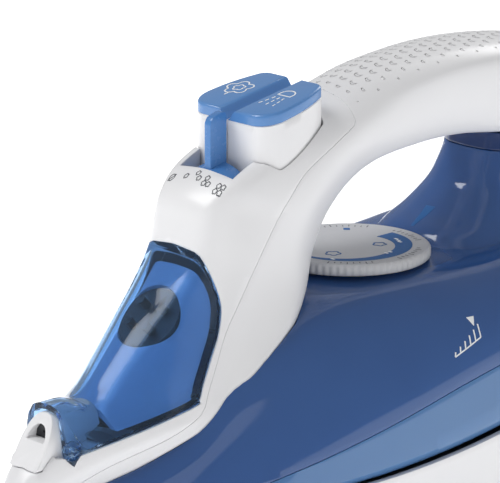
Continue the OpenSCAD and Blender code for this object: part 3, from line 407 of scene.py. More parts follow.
parting = [[-136, 21.5], [-118, 28.5], [-103.6, 35.6], [-85, 42], [-76, 46.4], [-72, 49.5], [-69.3, 54],
           [-64.3, 62], [-58.5, 71.5], [-52, 80], [-43.5, 92], [-35.5, 103.1], [-29.8, 109.8], [-22, 116.8],
           [-7.1, 124], [-1.2, 126.5], [2.2, 128.7], [2.6, 133]]
cap_edge = [[-114.4, 39.2], [-110.5, 40.6], [-76.5, 50.5], [-73, 52.8], [-70.5, 57], [-66, 64], [-61.5, 71.5],
            [-58.8, 79.5], [-59.4, 88], [-61.2, 96], [-62.8, 102.5]]


def shell_rings(t, inset, ease=2):
    """Sections of the white envelope at row numbers t, drawn in by inset: a flat front facet, a quadratic curve to
    the
    ridge, a bulged side to the lower corner, and a shallow inner face."""
    r = read_rows(shell_rows, t)
    nil = np.zeros(len(r))
    point = lambda x, y, z: np.stack([x, y, z], -1)[:, None]
    o, i = point(nil, r[:, 0], r[:, 1]), point(nil, r[:, 10], r[:, 11])
    e = (o - i) / np.linalg.norm(o - i, axis=-1, keepdims=True)
    f = point(r[:, 2], r[:, 0], r[:, 1]) - e * r[:, 3, None, None]
    rd, b = point(r[:, 4], r[:, 5], r[:, 6]), point(r[:, 7], r[:, 8], r[:, 9])
    c1 = np.concatenate([mix(f[..., :1], rd[..., :1], 0.9), mix(f[..., 1:], rd[..., 1:], 0.45)], -1)
    c2 = mix(rd, b, 0.5) + point(r[:, 12], nil, nil)
    u = np.concatenate([b[..., :1] * 0.62, mix(b[..., 1:], i[..., 1:], 0.7)], -1)
    s = lambda c: np.linspace(0, 1, c, endpoint=False)[None, :, None]
    half = np.concatenate([mix(o, f, s(5)), bend(f, c1, rd, s(9)), bend(rd, c2, b, s(9)), mix(b, u, s(4)),
        mix(u, i, s(4)), i], axis=1)
    m, d, w = (o + i) / 2, np.linalg.norm(o - i, axis=-1, keepdims=True), np.maximum(rd, b)[..., :1]
    h = ((half - m) * e).sum(-1, keepdims=True)
    half = half - e * h * np.minimum(1.8, 2 * inset / d)
    half = half * np.concatenate([1 - np.minimum(0.9, inset / w), np.ones_like(w), np.ones_like(w)], -1)
    return eased(closed_rings(half), ease)


def envelope(name, inset=0.0, first=0.0, last=22.0, steps=6, ease=2):
    """The closed envelope between two row numbers."""
    return lofted(name, shell_rings(np.linspace(first, last, int((last - first) * steps) + 1), inset, ease))


def hollow(name, wall):
    """The envelope's inside, which runs out through its open rear end."""
    rings = shell_rings(np.linspace(2.5, 22, 100), wall)
    return lofted(name, np.concatenate([rings, rings[-1:] + [0, 4, 0]]))


def cover_side(gap):
    """Everything in front of and above the parting line."""
    line = smooth_line(parting) + [-gap, gap]
    return across("cover_side", np.concatenate([line, [[2.6, 190], [-190, 190], [-190, 21.5]]]))


def cap_side(gap):
    """Everything in front of and above the filler cap's edge, from behind the nozzle's brow."""
    line = smooth_line(cap_edge, 4) + [-gap, gap]
    return across("cap_side", np.concatenate([line, [[-62.8, 190], [-115 + gap, 190], [-115 + gap, 39.2]]]))


def shell(name, wall=2.4):
    """The white shell before it is divided."""
    return cut(envelope(name), ("DIFFERENCE", hollow("hollow", wall)))


# Places that tilt about the X axis.
def tilted(origin, degrees):
    """A function that turns points by an angle about X and then moves them to an origin."""
    c, s = math.cos(math.radians(degrees)), math.sin(math.radians(degrees))
    turn = np.array([[1, 0, 0], [0, c, s], [0, -s, c]])
    return lambda p: np.asarray(p) @ turn + origin


in_neck = tilted([0, -73, 75], 46.4)
lever_tilt, drum_r, lever_len, fin_h, fin_t = 16.5, 15.0, 7.2, 15.6, 2.8
lever_turn = math.radians(lever_tilt)
in_lever = tilted([0, -46.4 + drum_r * math.sin(lever_turn), 118.4 - drum_r * math.cos(lever_turn)], lever_tilt - 90)

grip = shell("grip_shell")
cut(grip, ("DIFFERENCE", cover_side(0)),
    ("DIFFERENCE", upright("strip", [[-9.15, 21.85], [9.15, 21.85], [9.15, 66.15], [-9.15, 66.15]], 90, 118)),
    ("DIFFERENCE", tube_about("neck_hole", 11.5, -40, -4, in_neck)),
    ("DIFFERENCE", tube_about("lens_hole", 3.3, 0, 12, tilted([0, 99, 138.2], -14), 32)))

# ---- Push buttons ----
slope = math.radians(11)
button_front, button_rear, button_top, button_foot, button_w = -38.0, -8.5, 136.5, 113.0, 18.0


def button_plan(inset):
    """Plan of the near button: a straight inner side, a 7.5 mm front round, a curved outer side and a small rear
    round."""
    x0, x1, f, b = 0.45 + inset, 0.45 + button_w - inset, button_front + inset, button_rear - inset
    front = np.radians(np.linspace(-90, 0, 14))
    rear = np.radians(np.linspace(30, 90, 8))
    t = np.linspace(0, 1, 14)[1:-1, None]
    side = bend(np.array([x1, f + 7.5]), np.array([x1, b - 12]), np.array([x1 - 3.5, b - 3.4]), t)
    return np.concatenate([[[x0, f]], np.column_stack([x1 - 7.5 + 7.5 * np.cos(front),
        f + 7.5 + 7.5 * np.sin(front)]), side,
                           np.column_stack([x1 - 7.5 + 4 * np.cos(rear), b - 4 + 4 * np.sin(rear)]), [[x0, b]]])


def top_at(y, drop):
    """Height of the sloping top at y, lowered by a drop square to it."""
    return button_top + (y - button_front) * math.tan(slope) - drop / math.cos(slope)


def button_rings(levels):
    """Rings of a button at (drop below the top, inset), with the inner side leaning away above the bottom of the
    V."""
    rings = []
    for drop, inset in levels:
        plan = button_plan(inset)
        lean = np.interp(drop, [0, 3, 3.2], [3.6, 1.2, 0.45])
        x = np.maximum(plan[:, 0], lean + inset)
        rings.append(np.column_stack([x, plan[:, 1], top_at(plan[:, 1], drop)]))
    return np.stack(rings)


round_top = [(0.9 * (1 - math.sin(a)), 0.9 * (1 - math.cos(a))) for a in np.radians(np.linspace(0, 90, 6))]
cap_levels = [(3.6, 0.15), (3.45, 0.0), (2.6, 0), (1.6, 0)] + round_top
for side, who in ((1, "spray"), (-1, "steam")):
    flip = [side, 1, 1]
    cap = lofted(who + "_button_top", button_rings(cap_levels) * flip)
    fitted(soft_edges(cap, 0, angle=50), who + "_button", blue, "control_blue", who + "_button_cap")
    plan = button_plan(0)
    levels = [np.column_stack([plan, mix(np.full(len(plan), button_foot), top_at(plan[:, 1], 3.6),
        t)]) for t in np.linspace(0, 0.985, 8)]
    inner = button_plan(0.25)
    levels.append(np.column_stack([inner, top_at(inner[:, 1], 3.6)]))
    skirt = lofted(who + "_button_skirt", np.stack(levels) * flip)
    bore_plan = button_plan(1.8)
    bore = lofted("bore", np.stack([np.column_stack([bore_plan, np.full(len(bore_plan), 111.0)]),
                                    np.column_stack([bore_plan, top_at(bore_plan[:, 1], 5.6)])]) * flip)
    notch = across("drum_room", [[-60, 90], [-60, 115], [-36.1, 115], [-36.1, 90]])
    cut(skirt, ("DIFFERENCE", bore), ("DIFFERENCE", notch))
    fitted(soft_edges(skirt, 0), who + "_button", white, "white_plastic", who + "_button_body")


def button_rooms():
    """The two openings that the buttons move in, 0.5 mm larger than the buttons."""
    return [("DIFFERENCE", upright("button_room", button_plan(-0.5) * [side, 1], 100, 160)) for side in (1, -1)]


# ---- Front cover, with its openings for the cap, the lever and the buttons ----
arch_w, arch_low, arch_high = 6.6, 36.0, 52.0


def arch_line(grow):
    """Front view of the nozzle's arch: upright sides and a round crown, grown outwards."""
    w, h, f = arch_w + grow, arch_high - arch_low + grow, min(1, grow / 0.8)
    half = smooth_line([[0, arch_low - grow], [w, arch_low - grow], [w, arch_low + h * mix(0.36, 0.5, f)],
                        [w * mix(0.93, 0.97, f), arch_low + h * mix(0.6, 0.7, f)], [w * mix(0.7, 0.8, f),
                            arch_low + h * mix(0.84, 0.88, f)],
                        [w * mix(0.4, 0.45, f), arch_low + h * mix(0.965, 0.975, f)], [0, arch_low + h]], 5)
    half[:, 0] = np.clip(half[:, 0], 0, w)
    return np.concatenate([half, half[-2:0:-1] * [-1, 1]])


def arch_solid(name, grow, front, rear):
    """The arch carried along Y; its front leans back from foot to crown when front is a function of height."""
    line = arch_line(grow)
    at = lambda y: np.column_stack([line[:, 0], np.broadcast_to(y, len(line)), line[:, 1]])
    return lofted(name, np.stack([at(front(line[:, 1]) if callable(front) else front), at(rear)]))


cut(grip, *button_rooms(), ("DIFFERENCE", arch_solid("nozzle_pass", 0.3, -130, -97.7)))
fitted(soft_edges(grip, 0.25), "iron_body", grip_white, "white_plastic", "handle_body")
nose_lean = lambda z: np.interp(z, [36, 37.8, 52.4], [-124.6, -123, -114.6])
cover = shell("front_shell")
across_x = lambda p: np.asarray(p)[..., [2, 0, 1]] + [0, -111.5, 40.3]


def lever_hole():
    """The drum's opening: a round of 15.4 mm with a slot 25.2 mm wide above it."""
    a = np.linspace(0, math.pi, 40)
    line = np.concatenate([[[12.6, -60], [12.6, -8.9]], 15.4 * np.column_stack([np.cos(a), np.sin(a)]),
        [[-12.6, -8.9], [-12.6, -60]]])
    rings = np.stack([np.column_stack([line, np.full(len(line), z)]) for z in (-1, lever_len + 1.6)])
    return lofted("lever_hole", in_lever(rings))


tools = []
for side in (1, -1):
    edge = side * 10.2
    relief = upright("cap_relief", [[side * 6.4, -117.8], [edge, -117.8], [edge, -114.8], [side * 6.4, -114.8]], 39.1,
        60)
    tools += [("DIFFERENCE", relief), ("DIFFERENCE", tube_about("ear_room", 4.3, side * 9.2 - 3.5, side * 9.2 + 3.5,
        across_x, 32))]
tools += [("INTERSECT", cover_side(0.15)), ("DIFFERENCE", cap_side(-0.3)),
          ("DIFFERENCE", arch_solid("nozzle_hole", 0.3, -130, -97.7))]
cut(cover, *tools, *button_rooms(), ("DIFFERENCE", lever_hole()))
soft_edges(cover, 0.25)
fitted(cover, "iron_body", white, "white_plastic", "front_cover")

# ---- Steam lever ----


def lever_outline(line, low, high):
    """A line of points in the lever's own front view, carried along its axis."""
    line = np.asarray(line, float)
    return in_lever(np.stack([np.column_stack([line, np.full(len(line), z)]) for z in (low, high)]))


arc = np.radians(np.linspace(-52, 52, 60))
saddle_line = np.concatenate([drum_r * np.column_stack([np.sin(arc), -np.cos(arc)]),
    (drum_r - 2.4) * np.column_stack([np.sin(arc[::-1]), -np.cos(arc[::-1])])])
lever = lofted("steam_lever_drum", lever_outline(saddle_line, -0.5, lever_len - 1.3))
turn = np.linspace(0, 2 * math.pi, 48, endpoint=False)
hub = lofted("hub", lever_outline(3.4 * np.column_stack([np.cos(turn), np.sin(turn)]), -0.5, lever_len - 1.3))
web = lofted("web", lever_outline([[-1.2, -13.9], [1.2, -13.9], [1.2, -0.5], [-1.2, -0.5]], -0.4, lever_len - 1.4))
top, c = drum_r + fin_h, 2.2
quarter = np.radians(np.linspace(0, 90, 7))
blade = np.concatenate([[[-drum_r + 1, 0], [-drum_r + 1, lever_len]],
    np.column_stack([-top + c - c * np.sin(quarter), lever_len - c + c * np.cos(quarter)]),
                        np.column_stack([-top + c - c * np.cos(quarter), c - c * np.sin(quarter)])])
blade[:, 1] -= (blade[:, 0] + drum_r) * math.tan(lever_turn)
fin = lofted("fin", in_lever(np.stack([np.column_stack([np.full(len(blade), x), blade]) for x in (-fin_t / 2,
    fin_t / 2)])))
pin_hole = lofted("pin_hole", lever_outline(1.55 * np.column_stack([np.cos(turn), np.sin(turn)]), -9, 20))
cut(lever, ("UNION", hub), ("UNION", web), ("UNION", fin), ("DIFFERENCE", pin_hole))
soft_edges(lever, 0.35, 3)
fitted(lever, "steam_lever", lever_blue, "control_blue", "steam_lever")

# Troughs beside the drum: white plastic in shade, coloured grey, so their grey is painted shade.
for side in (1, -1):
    well = [[12.3, -20], [14.6, -20], [14.6, -7.4], [10.4, -7.4], [10.4, -9.4], [12.3, -10.6]]
    part = lofted("lever_trough_" + ("near" if side > 0 else "far"),
        lever_outline(np.array(well) * [side, 1], -1, lever_len + 1.4))
    cut(part, ("INTERSECT", envelope("deck", 0.15)), ("DIFFERENCE", upright("button_room", button_plan(-0.4) * [side,
        1], 90, 160)))
    fitted(soft_edges(part, 0.15), "iron_body", grey, "grey_plastic")

# ---- Nozzle and filler cap ----
nozzle = arch_solid("nozzle_arch", 0, nose_lean, -98)
d_line = np.concatenate([smooth_line([[0, 43.6], [4.1, 43.6], [3.6, 46], [2, 48], [0, 48.6]], 3)[3:],
    smooth_line([[0, 48.6], [-2, 48], [-3.6, 46], [-4.1, 43.6]], 3)[1:]])
d_hole = lofted("d_hole", np.stack([np.column_stack([d_line[:, 0], np.full(len(d_line), y), d_line[:,
    1]]) for y in (-130, -107)]))
cut(nozzle, ("DIFFERENCE", d_hole), ("INTERSECT", across("nozzle_back", [[-104, 43], [-90, 50], [-90, 60], [-130, 60],
    [-130, 30], [-104, 30]])))
soft_edges(nozzle, 0.4, 3)
fitted(nozzle, "iron_body", white, "white_plastic", "nozzle_housing")


def raised_over_nozzle(rings, grow):
    """The envelope's rings lifted over the nozzle: z + (g + sqrt(g^2 + 3^2)) / 2, where g is how far the arch stands
    above
    the envelope; the arch fades down behind the nozzle, and only the front face and its shoulders are lifted."""
    line = arch_line(grow)
    crown = line[(line[:, 0] >= 0) & (line[:, 1] > arch_low + 2)]
    crown = crown[np.argsort(crown[:, 0])]
    x = np.abs(rings[..., 0])
    high = np.interp(x, crown[:, 0], crown[:, 1]) - np.maximum(x - arch_w - grow + 0.6, 0) * 3.2
    high = high - 0.05 * np.maximum(rings[..., 1] + 108, 0) ** 2
    gap = high - rings[..., 2]
    half = rings.shape[1] // 2 + 1
    weight = np.clip((18 - np.arange(half)) / 4, 0, 1)
    weight = np.concatenate([weight, weight[-2:0:-1]])
    rings = rings.copy()
    rings[..., 2] += weight * (0.5 * (gap + np.sqrt(gap**2 + 9.0)) - 0.15) * (gap > -12)
    return rings


cap_rows = np.linspace(0.6, 10, 90)
cap = lofted("filler_cap_glass", raised_over_nozzle(shell_rings(cap_rows, 0, 1), 2.6))
cap_inside = lofted("cap_inside", raised_over_nozzle(shell_rings(np.linspace(0.3, 10.5, 90), 1.9, 1), 0.8))
front_face = across("front_face", [[-114.6, 39.2], [-114.6, 190], [-40, 190], [-40, 39.2]])
cut(cap, ("INTERSECT", front_face), ("INTERSECT", cap_side(0)), ("DIFFERENCE", cap_inside))
for side in (1, -1):
    ear = tube_about("cap_ear", 2.9, side * 8.2 - 1, side * 8.2 + 1, across_x, 40)
    pin = tube_about("pin_room", 1.35, side * 8.2 - 3, side * 8.2 + 3, across_x, 32)
    cut(cap, ("UNION", ear), ("DIFFERENCE", pin))
soft_edges(cap, 0.2)
fitted(cap, "filler_cap", cap_clear, "cap_blue", "filler_cap")

tray = envelope("filler_tray_floor", 4.4, 1.6, 10.4)
cut(tray, ("DIFFERENCE", across("tray_front", [[-200, 0], [-200, 200], [-97.2, 200], [-97.2, 0]])),
    ("DIFFERENCE", envelope("under_tray", 6.6, 2.2, 9.8)), ("INTERSECT", cap_side(0.3)),
    ("DIFFERENCE", tube_about("neck_gap", 11.5, -60, 60, in_neck)))
fitted(soft_edges(tray, 0.2), "iron_body", tray_blue, "tank_blue", "filler_tray")

# ---- Tank: dome, rear column and the paler lower band ----
# Each row: y, then x z of the lower edge, of the crease, of the side, of the shoulder, and z of the top.
dome_rows = [
    [-138, 3.2, 18, 2.4, 19, 1.8, 19.5, 1, 19.8, 20],
    [-130, 9.5, 18.5, 8.4, 20, 6.5, 21.3, 4, 22.3, 22.8],
    [-118, 17.5, 18.5, 16.5, 21.5, 13, 24.5, 9, 26.5, 27.5],
    [-105, 24.5, 18.5, 23, 24, 19, 28.5, 13, 31.5, 33],
    [-92, 30.5, 18.5, 28.5, 26, 24.5, 32, 17, 37, 39],
    [-78, 36, 18.5, 33.5, 28, 29.5, 37, 21, 45, 48],
    [-60, 41.5, 18.5, 39, 30, 34, 45, 24, 59, 63],
    [-40, 47, 19, 45, 34.5, 39, 52, 28.5, 65, 72],
    [-20, 51, 20, 49, 40.5, 42.5, 59, 29, 72.5, 76],
    [0, 54, 22, 51.5, 46.5, 44.5, 64, 31, 75.3, 77.3],
    [20, 56, 24.8, 52.5, 53, 45, 68, 31, 76.3, 77.5],
    [40, 57, 28.2, 52.5, 58.5, 44, 71, 30, 77, 77.8],
    [56, 57.5, 31, 52, 61, 43, 73, 29, 78.2, 79],
    [75, 57.5, 34, 51, 63, 41.5, 74.5, 28, 80.5, 81.5],
    [95, 56.5, 36.5, 49, 64, 39, 75.5, 25.5, 81.5, 82.5],
    [112, 53.5, 38.5, 45.5, 64, 36, 76.5, 22.5, 82, 83],
    [118, 52.5, 39, 44.5, 64, 35, 77, 21.5, 82, 83]]
column_rows = [[68, 32, 33], [78, 44.6, 28], [82, 48.9, 25.5], [86, 56, 23.5], [93, 64.5, 20.5], [99, 68.2, 18.8],
               [106, 71.5, 18], [114, 73, 18.4]]
seam = [[-160, 0], [-60, 25], [-21, 35], [23, 46.5], [60, 52], [120, 54]]


def dome_rings(t, inset):
    """Sections of the tank across Y: a leaning lower side to the crease, a quadratic curve to the shoulder, and a
    crowned top."""
    r = read_rows(dome_rows, t)
    nil = np.zeros(len(r))
    point = lambda x, z: np.stack([x, r[:, 0], z], -1)[:, None]
    s = lambda c: np.linspace(0, 1, c, endpoint=False)[None, :, None]
    floor, edge, crease = point(nil, r[:, 2]), point(r[:, 1], r[:, 2]), point(r[:, 3], r[:, 4])
    pull, shoulder, crown = point(r[:, 5] + 1.6, r[:, 6] + 1.6), point(r[:, 7], r[:, 8]), point(nil, r[:, 9])
    half = np.concatenate([mix(floor, edge, s(6)), mix(edge, crease, s(6)), bend(crease, pull, shoulder, s(12)),
                           bend(shoulder, point(r[:, 7] * 0.5, r[:, 9]), crown, s(10)), crown], axis=1)
    m, h = (r[:, 2] + r[:, 9])[:, None] / 2, (r[:, 9] - r[:, 2])[:, None] / 2
    half[..., 0] *= np.maximum(0.1, 1 - inset / r[:, 1])[:, None]
    half[..., 2] = m + (half[..., 2] - m) * np.maximum(0.1, 1 - inset / h)
    return eased(closed_rings(half), 1)


def column_rings(t, inset):
    """Plan sections of the tank's rear column, with a narrow front facet and slightly spreading sides."""
    r = read_rows(column_rows, t)
    f, w, e = r[:, 1] + inset * 1.4, r[:, 2] - inset, np.full(len(r), 117.7 - inset)
    length, z = e - f, r[:, 0] - inset
    corners = np.stack([np.stack([a, b, z], -1) for a, b in [(0 * w, f), (w * 0.5, f + length * 0.02), (w * 0.84,
        f + length * 0.1),
                       (w, f + length * 0.34), (w + 1, e), (0 * w, e)]], 1)
    return eased(closed_rings(polyline_fine(corners, [5, 5, 6, 6, 6])), 2)


def tank_solid(name, inset):
    """The tank's outside for inset 0, or its hollow, stopped at the white envelope and at the rear plane."""
    body = lofted(name, dome_rings(np.linspace(2 if inset else 0, 16, 100), inset))
    column = lofted("column", column_rings(np.linspace(0, 6, 40), inset))
    rear = across("rear_plane", [[117.7 - inset, 0], [117.7 - inset, 200], [200, 200], [200, 0]])
    return cut(body, ("UNION", column), ("DIFFERENCE", envelope("shell_gap", -0.3 - inset, 0, 14)),
        ("DIFFERENCE", rear))


def above_seam(name, gap):
    """Everything above the seam between the tank and its paler band."""
    return across(name, np.concatenate([smooth_line(seam) + [0, gap], [[120, 190], [-160, 190]]]))


def tank_cuts():
    """Holes for the dial's well and the filler neck."""
    well = lambda p: np.asarray(p) + [0, 16.3, 0]
    return [("DIFFERENCE", tube_about("well_hole", 7.0, -10, 200, well)),
        ("DIFFERENCE", tube_about("neck_pass", 11.5, -37, -1, in_neck))]


tank = tank_solid("tank_upper", 0)
cut(tank, ("INTERSECT", above_seam("seam_top", 0.15)), ("DIFFERENCE", tank_solid("tank_hollow", 2.2)), *tank_cuts())
fitted(soft_edges(tank, 0.2), "iron_body", tank_clear, "tank_blue", "tank_shell")
band = tank_solid("tank_lower", 0)
cut(band, ("DIFFERENCE", above_seam("seam_low", -0.15)), ("DIFFERENCE", tank_solid("band_hollow", 2.2)), *tank_cuts())
fitted(soft_edges(band, 0.2), "iron_body", band_clear, "band_blue", "tank_lower_band")

# ---- Skirt round the sole ----


def sole_side(y):
    """Half width of the sole at y, on a power curve from its tip."""
    return 59 * (1 - (1 - np.clip((y + 142.5) / 200, 0, 1)) ** 2) ** 0.74


def skirt_rings(t, inset, low, lift):
    """Sections of the skirt: from the sole's outline straight up to the tank's lower edge."""
    r = read_rows([[-141.3, 0.8, 8] + [0] * 7] + dome_rows, t)
    nil = np.zeros(len(r))
    point = lambda x, z: np.stack([np.maximum(x, 0), r[:, 0], z + nil], -1)[:, None]
    w = np.minimum(sole_side(r[:, 0]) - 0.8, r[:, 1] + np.clip((118 - r[:, 0]) * 0.1 + 0.6, 0.6, 3.5)) - inset
    corners = np.concatenate([point(nil, nil + low), point(np.maximum(w, 0.4), nil + low),
        point(np.maximum(r[:, 1] - inset, 0.3), r[:, 2] + lift), point(nil, r[:, 2] + lift)], axis=1)
    return closed_rings(polyline_fine(corners, [6, 10, 6]))


skirt = lofted("sole_skirt", skirt_rings(np.linspace(0, 17, 103), 0, 2.9, -0.3))
cut(skirt, ("DIFFERENCE", lofted("skirt_inside", skirt_rings(np.linspace(2, 17, 91), 2.2, 1.9, 1.0))))
fitted(soft_edges(skirt, 0.3), "iron_body", white, "white_plastic", "heat_skirt")

# ---- Dial ----


def dial_rings():
    """A disc turned from a profile of radius and height, with 72 cosine ribs on its rim and a shallow recessed
    face."""
    profile = np.array([[3.05, 78.3], [20, 78.3], [26.6, 78.3], [27.0, 78.5], [27.4, 79.0], [27.4, 80.0],
        [27.4, 81.2], [27.1, 81.8],
                        [26.5, 82.2], [25.9, 82.2], [25.5, 82.0], [16, 82.0], [8, 82.0], [3.05, 82.0]])
    ribs = np.array([0, 0, 0, 0.6, 1, 1, 1, 0.6, 0, 0, 0, 0, 0, 0])
    a = np.linspace(0, 2 * math.pi, 72 * 8, endpoint=False)
    r = profile[:, :1] - 0.45 * ribs[:, None] * (0.5 - 0.5 * np.cos(72 * a))[None]
    return np.stack([r * np.cos(a), r * np.sin(a) + 16.3, np.repeat(profile[:, 1:], len(a), 1)], -1)


dial = lofted("dial_disc", dial_rings())
fitted(soft_edges(dial, 0, angle=40), "dial", grey, "grey_plastic", "dial")

# ---- Rear cover and bridge ----
rear_low = [[3.4, 52, 139.5], [20, 52.4, 141], [39, 52, 141], [64, 44.2, 141], [77, 34.8, 141], [83, 22, 141]]
rear_high = [[60, 24, 141], [90, 22.5, 141], [106, 20.4, 141], [117, 20.4, 140.5], [124, 20.4, 134.5],
    [130, 18.6, 127.5], [135, 12.5, 120.5]]


def rear_rings(rows, steps):
    """Plan sections of the rear cover: a straight front, sides and back joined by 9 mm rounds."""
    r = read_rows(rows, np.linspace(0, len(rows) - 1, steps))
    w, b, z = r[:, 1], r[:, 2], r[:, 0]
    c = np.minimum(9, b - 118.3 - 1)
    a = np.radians(np.linspace(0, 90, 9))
    corner = [np.stack([w - c + c * math.cos(x), b - c + c * math.sin(x), z], -1) for x in a]
    points = [np.stack([0 * w, 118.3 + 0 * w, z], -1), np.stack([w, 118.3 + 0 * w, z],
        -1)] + corner + [np.stack([0 * w, b, z], -1)]
    return closed_rings(np.stack(points, 1))


in_gland = tilted([0, 127, 121], -45)
rear = lofted("rear_housing", rear_rings(rear_low, 40))
cut(rear, ("UNION", lofted("rear_top", rear_rings(rear_high, 40))),
    ("DIFFERENCE", tube_about("gland_hole", 11.9, -30, 30, in_gland)),
    ("DIFFERENCE", tube_about("screw_a", 3.2, 0, 12, tilted([30, 138, 52], -90), 32)),
        ("DIFFERENCE", tube_about("screw_b", 3.2, 0, 12, tilted([-30, 138, 52], -90), 32)))
fitted(soft_edges(rear, 0.5, 3), "iron_body", navy, "navy_plastic", "rear_cover")
bridge = lofted("rear_bridge_piece", column_rings(np.linspace(5, 7, 24), 0))
cut(bridge, ("INTERSECT", across("bridge_side", [[40, 106.4], [119, 106.4], [119, 109.7], [104, 109.9], [88, 110.9],
    [72, 112.3], [40, 113.6]])))
fitted(soft_edges(bridge, 0.2), "iron_body", navy, "navy_plastic", "rear_bridge")

# ---- Printed marks: thin bands of ink on their surfaces ----
ink_slots = {"white_ink": "white_plastic", "dark_grey_ink": "dark_plastic", "blue_ink": "control_blue"}


def printed(name, strokes, place, body, ink, wrap=None, axis="Z"):
    """Strokes of (2-D points, width or widths) drawn as bands 0.06 mm thick; `wrap` is the curved piece they are
    laid on,
    against the axis that they look along."""
    verts, faces, count = [], [], 0
    for line, width in strokes:
        line = np.asarray(line, float)
        run = np.concatenate([[0], np.cumsum(np.linalg.norm(np.diff(line, axis=0), axis=1))])
        at = np.linspace(0, run[-1], max(2, int(run[-1] / 0.4) + 2))
        fine = np.column_stack([np.interp(at, run, line[:, c]) for c in (0, 1)])
        along = np.gradient(fine, axis=0)
        along /= np.linalg.norm(along, axis=1, keepdims=True)
        half = np.interp(at, run, np.broadcast_to(width, len(line)))[:, None] / 2 * along[:, ::-1] * [-1, 1]
        i = np.arange(len(at) - 1) + count
        verts.append(np.concatenate([fine - half, fine + half]))
        faces += np.stack([i, i + 1, i + 1 + len(at), i + len(at)], -1).tolist()
        count += 2 * len(at)
    obj = piece_of(name, place(np.concatenate(verts)), faces)
    if wrap:
        lay = obj.modifiers.new("lay", "SHRINKWRAP")
        lay.target, lay.wrap_method, lay.wrap_mode, lay.offset = wrap, "PROJECT", "ABOVE_SURFACE", 0.04 * MM
        lay.use_project_x, lay.use_project_z = axis == "X", axis == "Z"
        lay.use_negative_direction, lay.use_positive_direction = True, False
    film = obj.modifiers.new("film", "SOLIDIFY")
    film.thickness, film.offset = 0.06 * MM, 0
    return fitted(baked(obj), body, ink, ink_slots[ink.name])


def ring_line(radius, start=0.0, end=360.0, scallop=0.0, lobes=5, centre=(0, 0)):
    """Part of a ring, or a cloud when scallop raises its lobes."""
    a = np.radians(np.linspace(start, end, max(8, int(abs(end - start) / 6))))
    r = radius + scallop * np.abs(np.sin(a * lobes / 2))
    return np.column_stack([r * np.cos(a), r * np.sin(a)]) + centre


def puff(centre, radius, width):
    """A little cloud of steam."""
    return (ring_line(radius, scallop=radius * 0.45, centre=centre), width)


lip_marks = [(ring_line(1.1, centre=(-11, -51.7)), 0.3), ([[-12.1, -52.8], [-9.9, -50.6]], 0.3)]
for count, (x, y) in enumerate(((-5, -51), (0, -50.3), (5, -51), (11, -51.7))):
    spots = [(-0.9, 0.9), (0.9, -0.7), (-0.9, -0.9), (0.9, 1.1)][: count + 1]
    lip_marks += [puff((x + dx * (count > 0), y + dy * (count > 0)), 0.62, 0.3) for dx, dy in spots]
printed("lip_icons", lip_marks, lambda p: np.column_stack([p, np.full(len(p), 160.0)]), "iron_body", dark_ink, cover)

on_button = lambda p: np.column_stack([p, top_at(p[:, 1], 0) + 0.02])
head = np.concatenate([[[6.2, -21.6], [11.8, -21.6]], ring_line(2.8, 0, 180, centre=(9, -20.4)), [[6.2, -21.6]]])
drops = [([[9 + s * (2 + 0.45 * k), -23.4 - 2.4 * k], [9 + s * (2.2 + 0.5 * k), -24.8 - 2.4 * k]], 0.5) for s in (-1,
    0, 1) for k in range(3)]
printed("spray_icon", [(head, 0.5)] + drops, on_button, "spray_button", white_ink)
printed("burst_icon", [puff((-10.5, -23), 3.4, 0.5), puff((-10.5, -23), 1.5, 0.45), ([[-10.5, -29.5], [-10.5, -27.4]],
    0.5)], on_button, "steam_button", white_ink)

on_dial = lambda p: np.column_stack([p + [0, 16.3], np.full(len(p), 82.05)])
over_blue = lambda p: on_dial(p) + [0, 0, 0.05]
wedge = np.linspace(1.2, 7.5, 31)
wedge_a = np.radians(np.linspace(-90, 92, 31))
wedge_line = (21.3 - wedge / 2)[:, None] * np.column_stack([np.cos(wedge_a), np.sin(wedge_a)])
spot = lambda r, a: r * np.array([math.cos(math.radians(a)), math.sin(math.radians(a))])
ticks = [([spot(23, a), spot(24.2 if a % 15 else 25, a)], 0.3) for a in range(-150, 181, 5) if a % 60 < 40]
printed("dial_wedge", [(wedge_line, wedge), (ring_line(1.6, scallop=0.7, centre=spot(10.4, 47)), 0.5),
                       (ring_line(1.8, scallop=0.8, centre=spot(12.8, -67)), 0.5),
                           ([spot(18.4, 137), spot(20.8, 137)], 2.2)], on_dial, "dial", blue_ink)
printed("dial_ticks", ticks, on_dial, "dial", dark_ink)
dots = [spot(19.7, -59), spot(16.8, 4), spot(16.8, 11), spot(17.4, 56), spot(17.4, 62.4), spot(17.4, 69)]
printed("dial_dots", [([c - [0.8, 0], c + [0.8, 0]], [0.9, 0.9]) for c in dots], over_blue, "dial", white_ink)

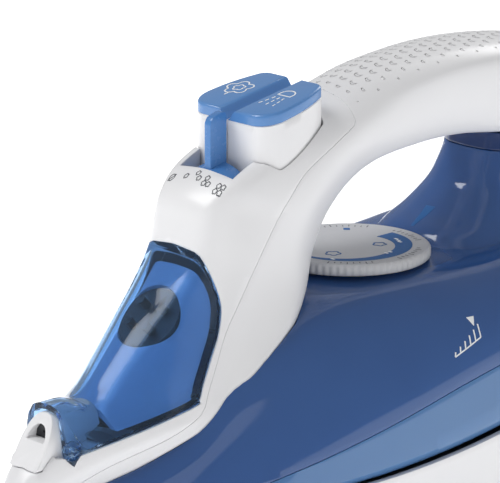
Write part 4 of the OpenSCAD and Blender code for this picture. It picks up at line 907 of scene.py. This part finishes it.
levels = [([[15 + 2.4 * i, 54.5 + 0.85 * i], [15.6 + 2.4 * i, 55.9 + 1.35 * i]], 0.5) for i in range(6)]
levels += [([[15, 54.5], [27, 58.75]], 0.4), ([[26, 65], [26, 62.4]], [3.0, 0.2])]
printed("fill_level", levels, lambda p: np.column_stack([np.full(len(p), 90.0), p]), "iron_body", white_ink, tank,
    "X")
printed("dial_pointer", [([[-2.7, 49], [-2.7, 58]], [1.2, 4.4])],
    lambda p: np.column_stack([p, np.full(len(p), 120.0)]), "iron_body", blue_ink, tank)

# ---- Studio ----
floor = lofted("studio_floor", np.stack([np.column_stack([np.array([-3000, 3000, 3000, -3000]), np.array([-3000,
    -3000, 6000, 6000]), np.full(4, z)]) for z in (-12.0, -0.02)]))
floor_mat = started("matt_white_backdrop", {"Base Color": linear("#fbfbfb"), "Roughness": 0.9, "Emission Color": (1.0,
    1.0, 1.0, 1.0), "Emission Strength": 0.7})[0]
floor.data.materials.append(floor_mat)


def soft_light(name, place, aim, size, watts):
    """A square area lamp at a place, turned to face an aim."""
    lamp = bpy.data.lights.new(name, "AREA")
    lamp.shape, lamp.size, lamp.energy = "SQUARE", size, watts
    obj = bpy.data.objects.new(name, lamp)
    obj.location = place
    obj.rotation_euler = (Vector(aim) - Vector(place)).to_track_quat("-Z", "Y").to_euler()
    bpy.context.scene.collection.objects.link(obj)


soft_light("key", (-0.5, -0.6, 1.1), (0, 0, 0.08), 0.6, 7)
soft_light("fill", (1.3, -0.5, 0.6), (0, 0, 0.08), 0.8, 1.4)
soft_light("rim", (-0.3, 1.2, 0.9), (0, 0, 0.1), 0.6, 5)
world = bpy.data.worlds.new("studio_air")
world.use_nodes = True
world.node_tree.nodes["Background"].inputs[0].default_value = (1, 1, 1, 1)
world.node_tree.nodes["Background"].inputs[1].default_value = 0.36
bpy.context.scene.world = world
bpy.context.scene.view_settings.view_transform = "Standard"

azimuth, elevation, reach = math.radians(47), math.radians(15), 1.29
back = Vector((math.sin(azimuth) * math.cos(elevation), -math.cos(azimuth) * math.cos(elevation),
    math.sin(elevation)))
lens = bpy.data.cameras.new("studio_camera")
lens.lens, lens.sensor_width, lens.clip_start, lens.clip_end = 288, 36, 0.05, 20
camera = bpy.data.objects.new("studio_camera", lens)
camera.location = Vector((0, -0.028, 0.091)) + back * reach
camera.rotation_euler = (-back).to_track_quat("-Z", "Y").to_euler()
bpy.context.scene.collection.objects.link(camera)
bpy.context.scene.camera = camera
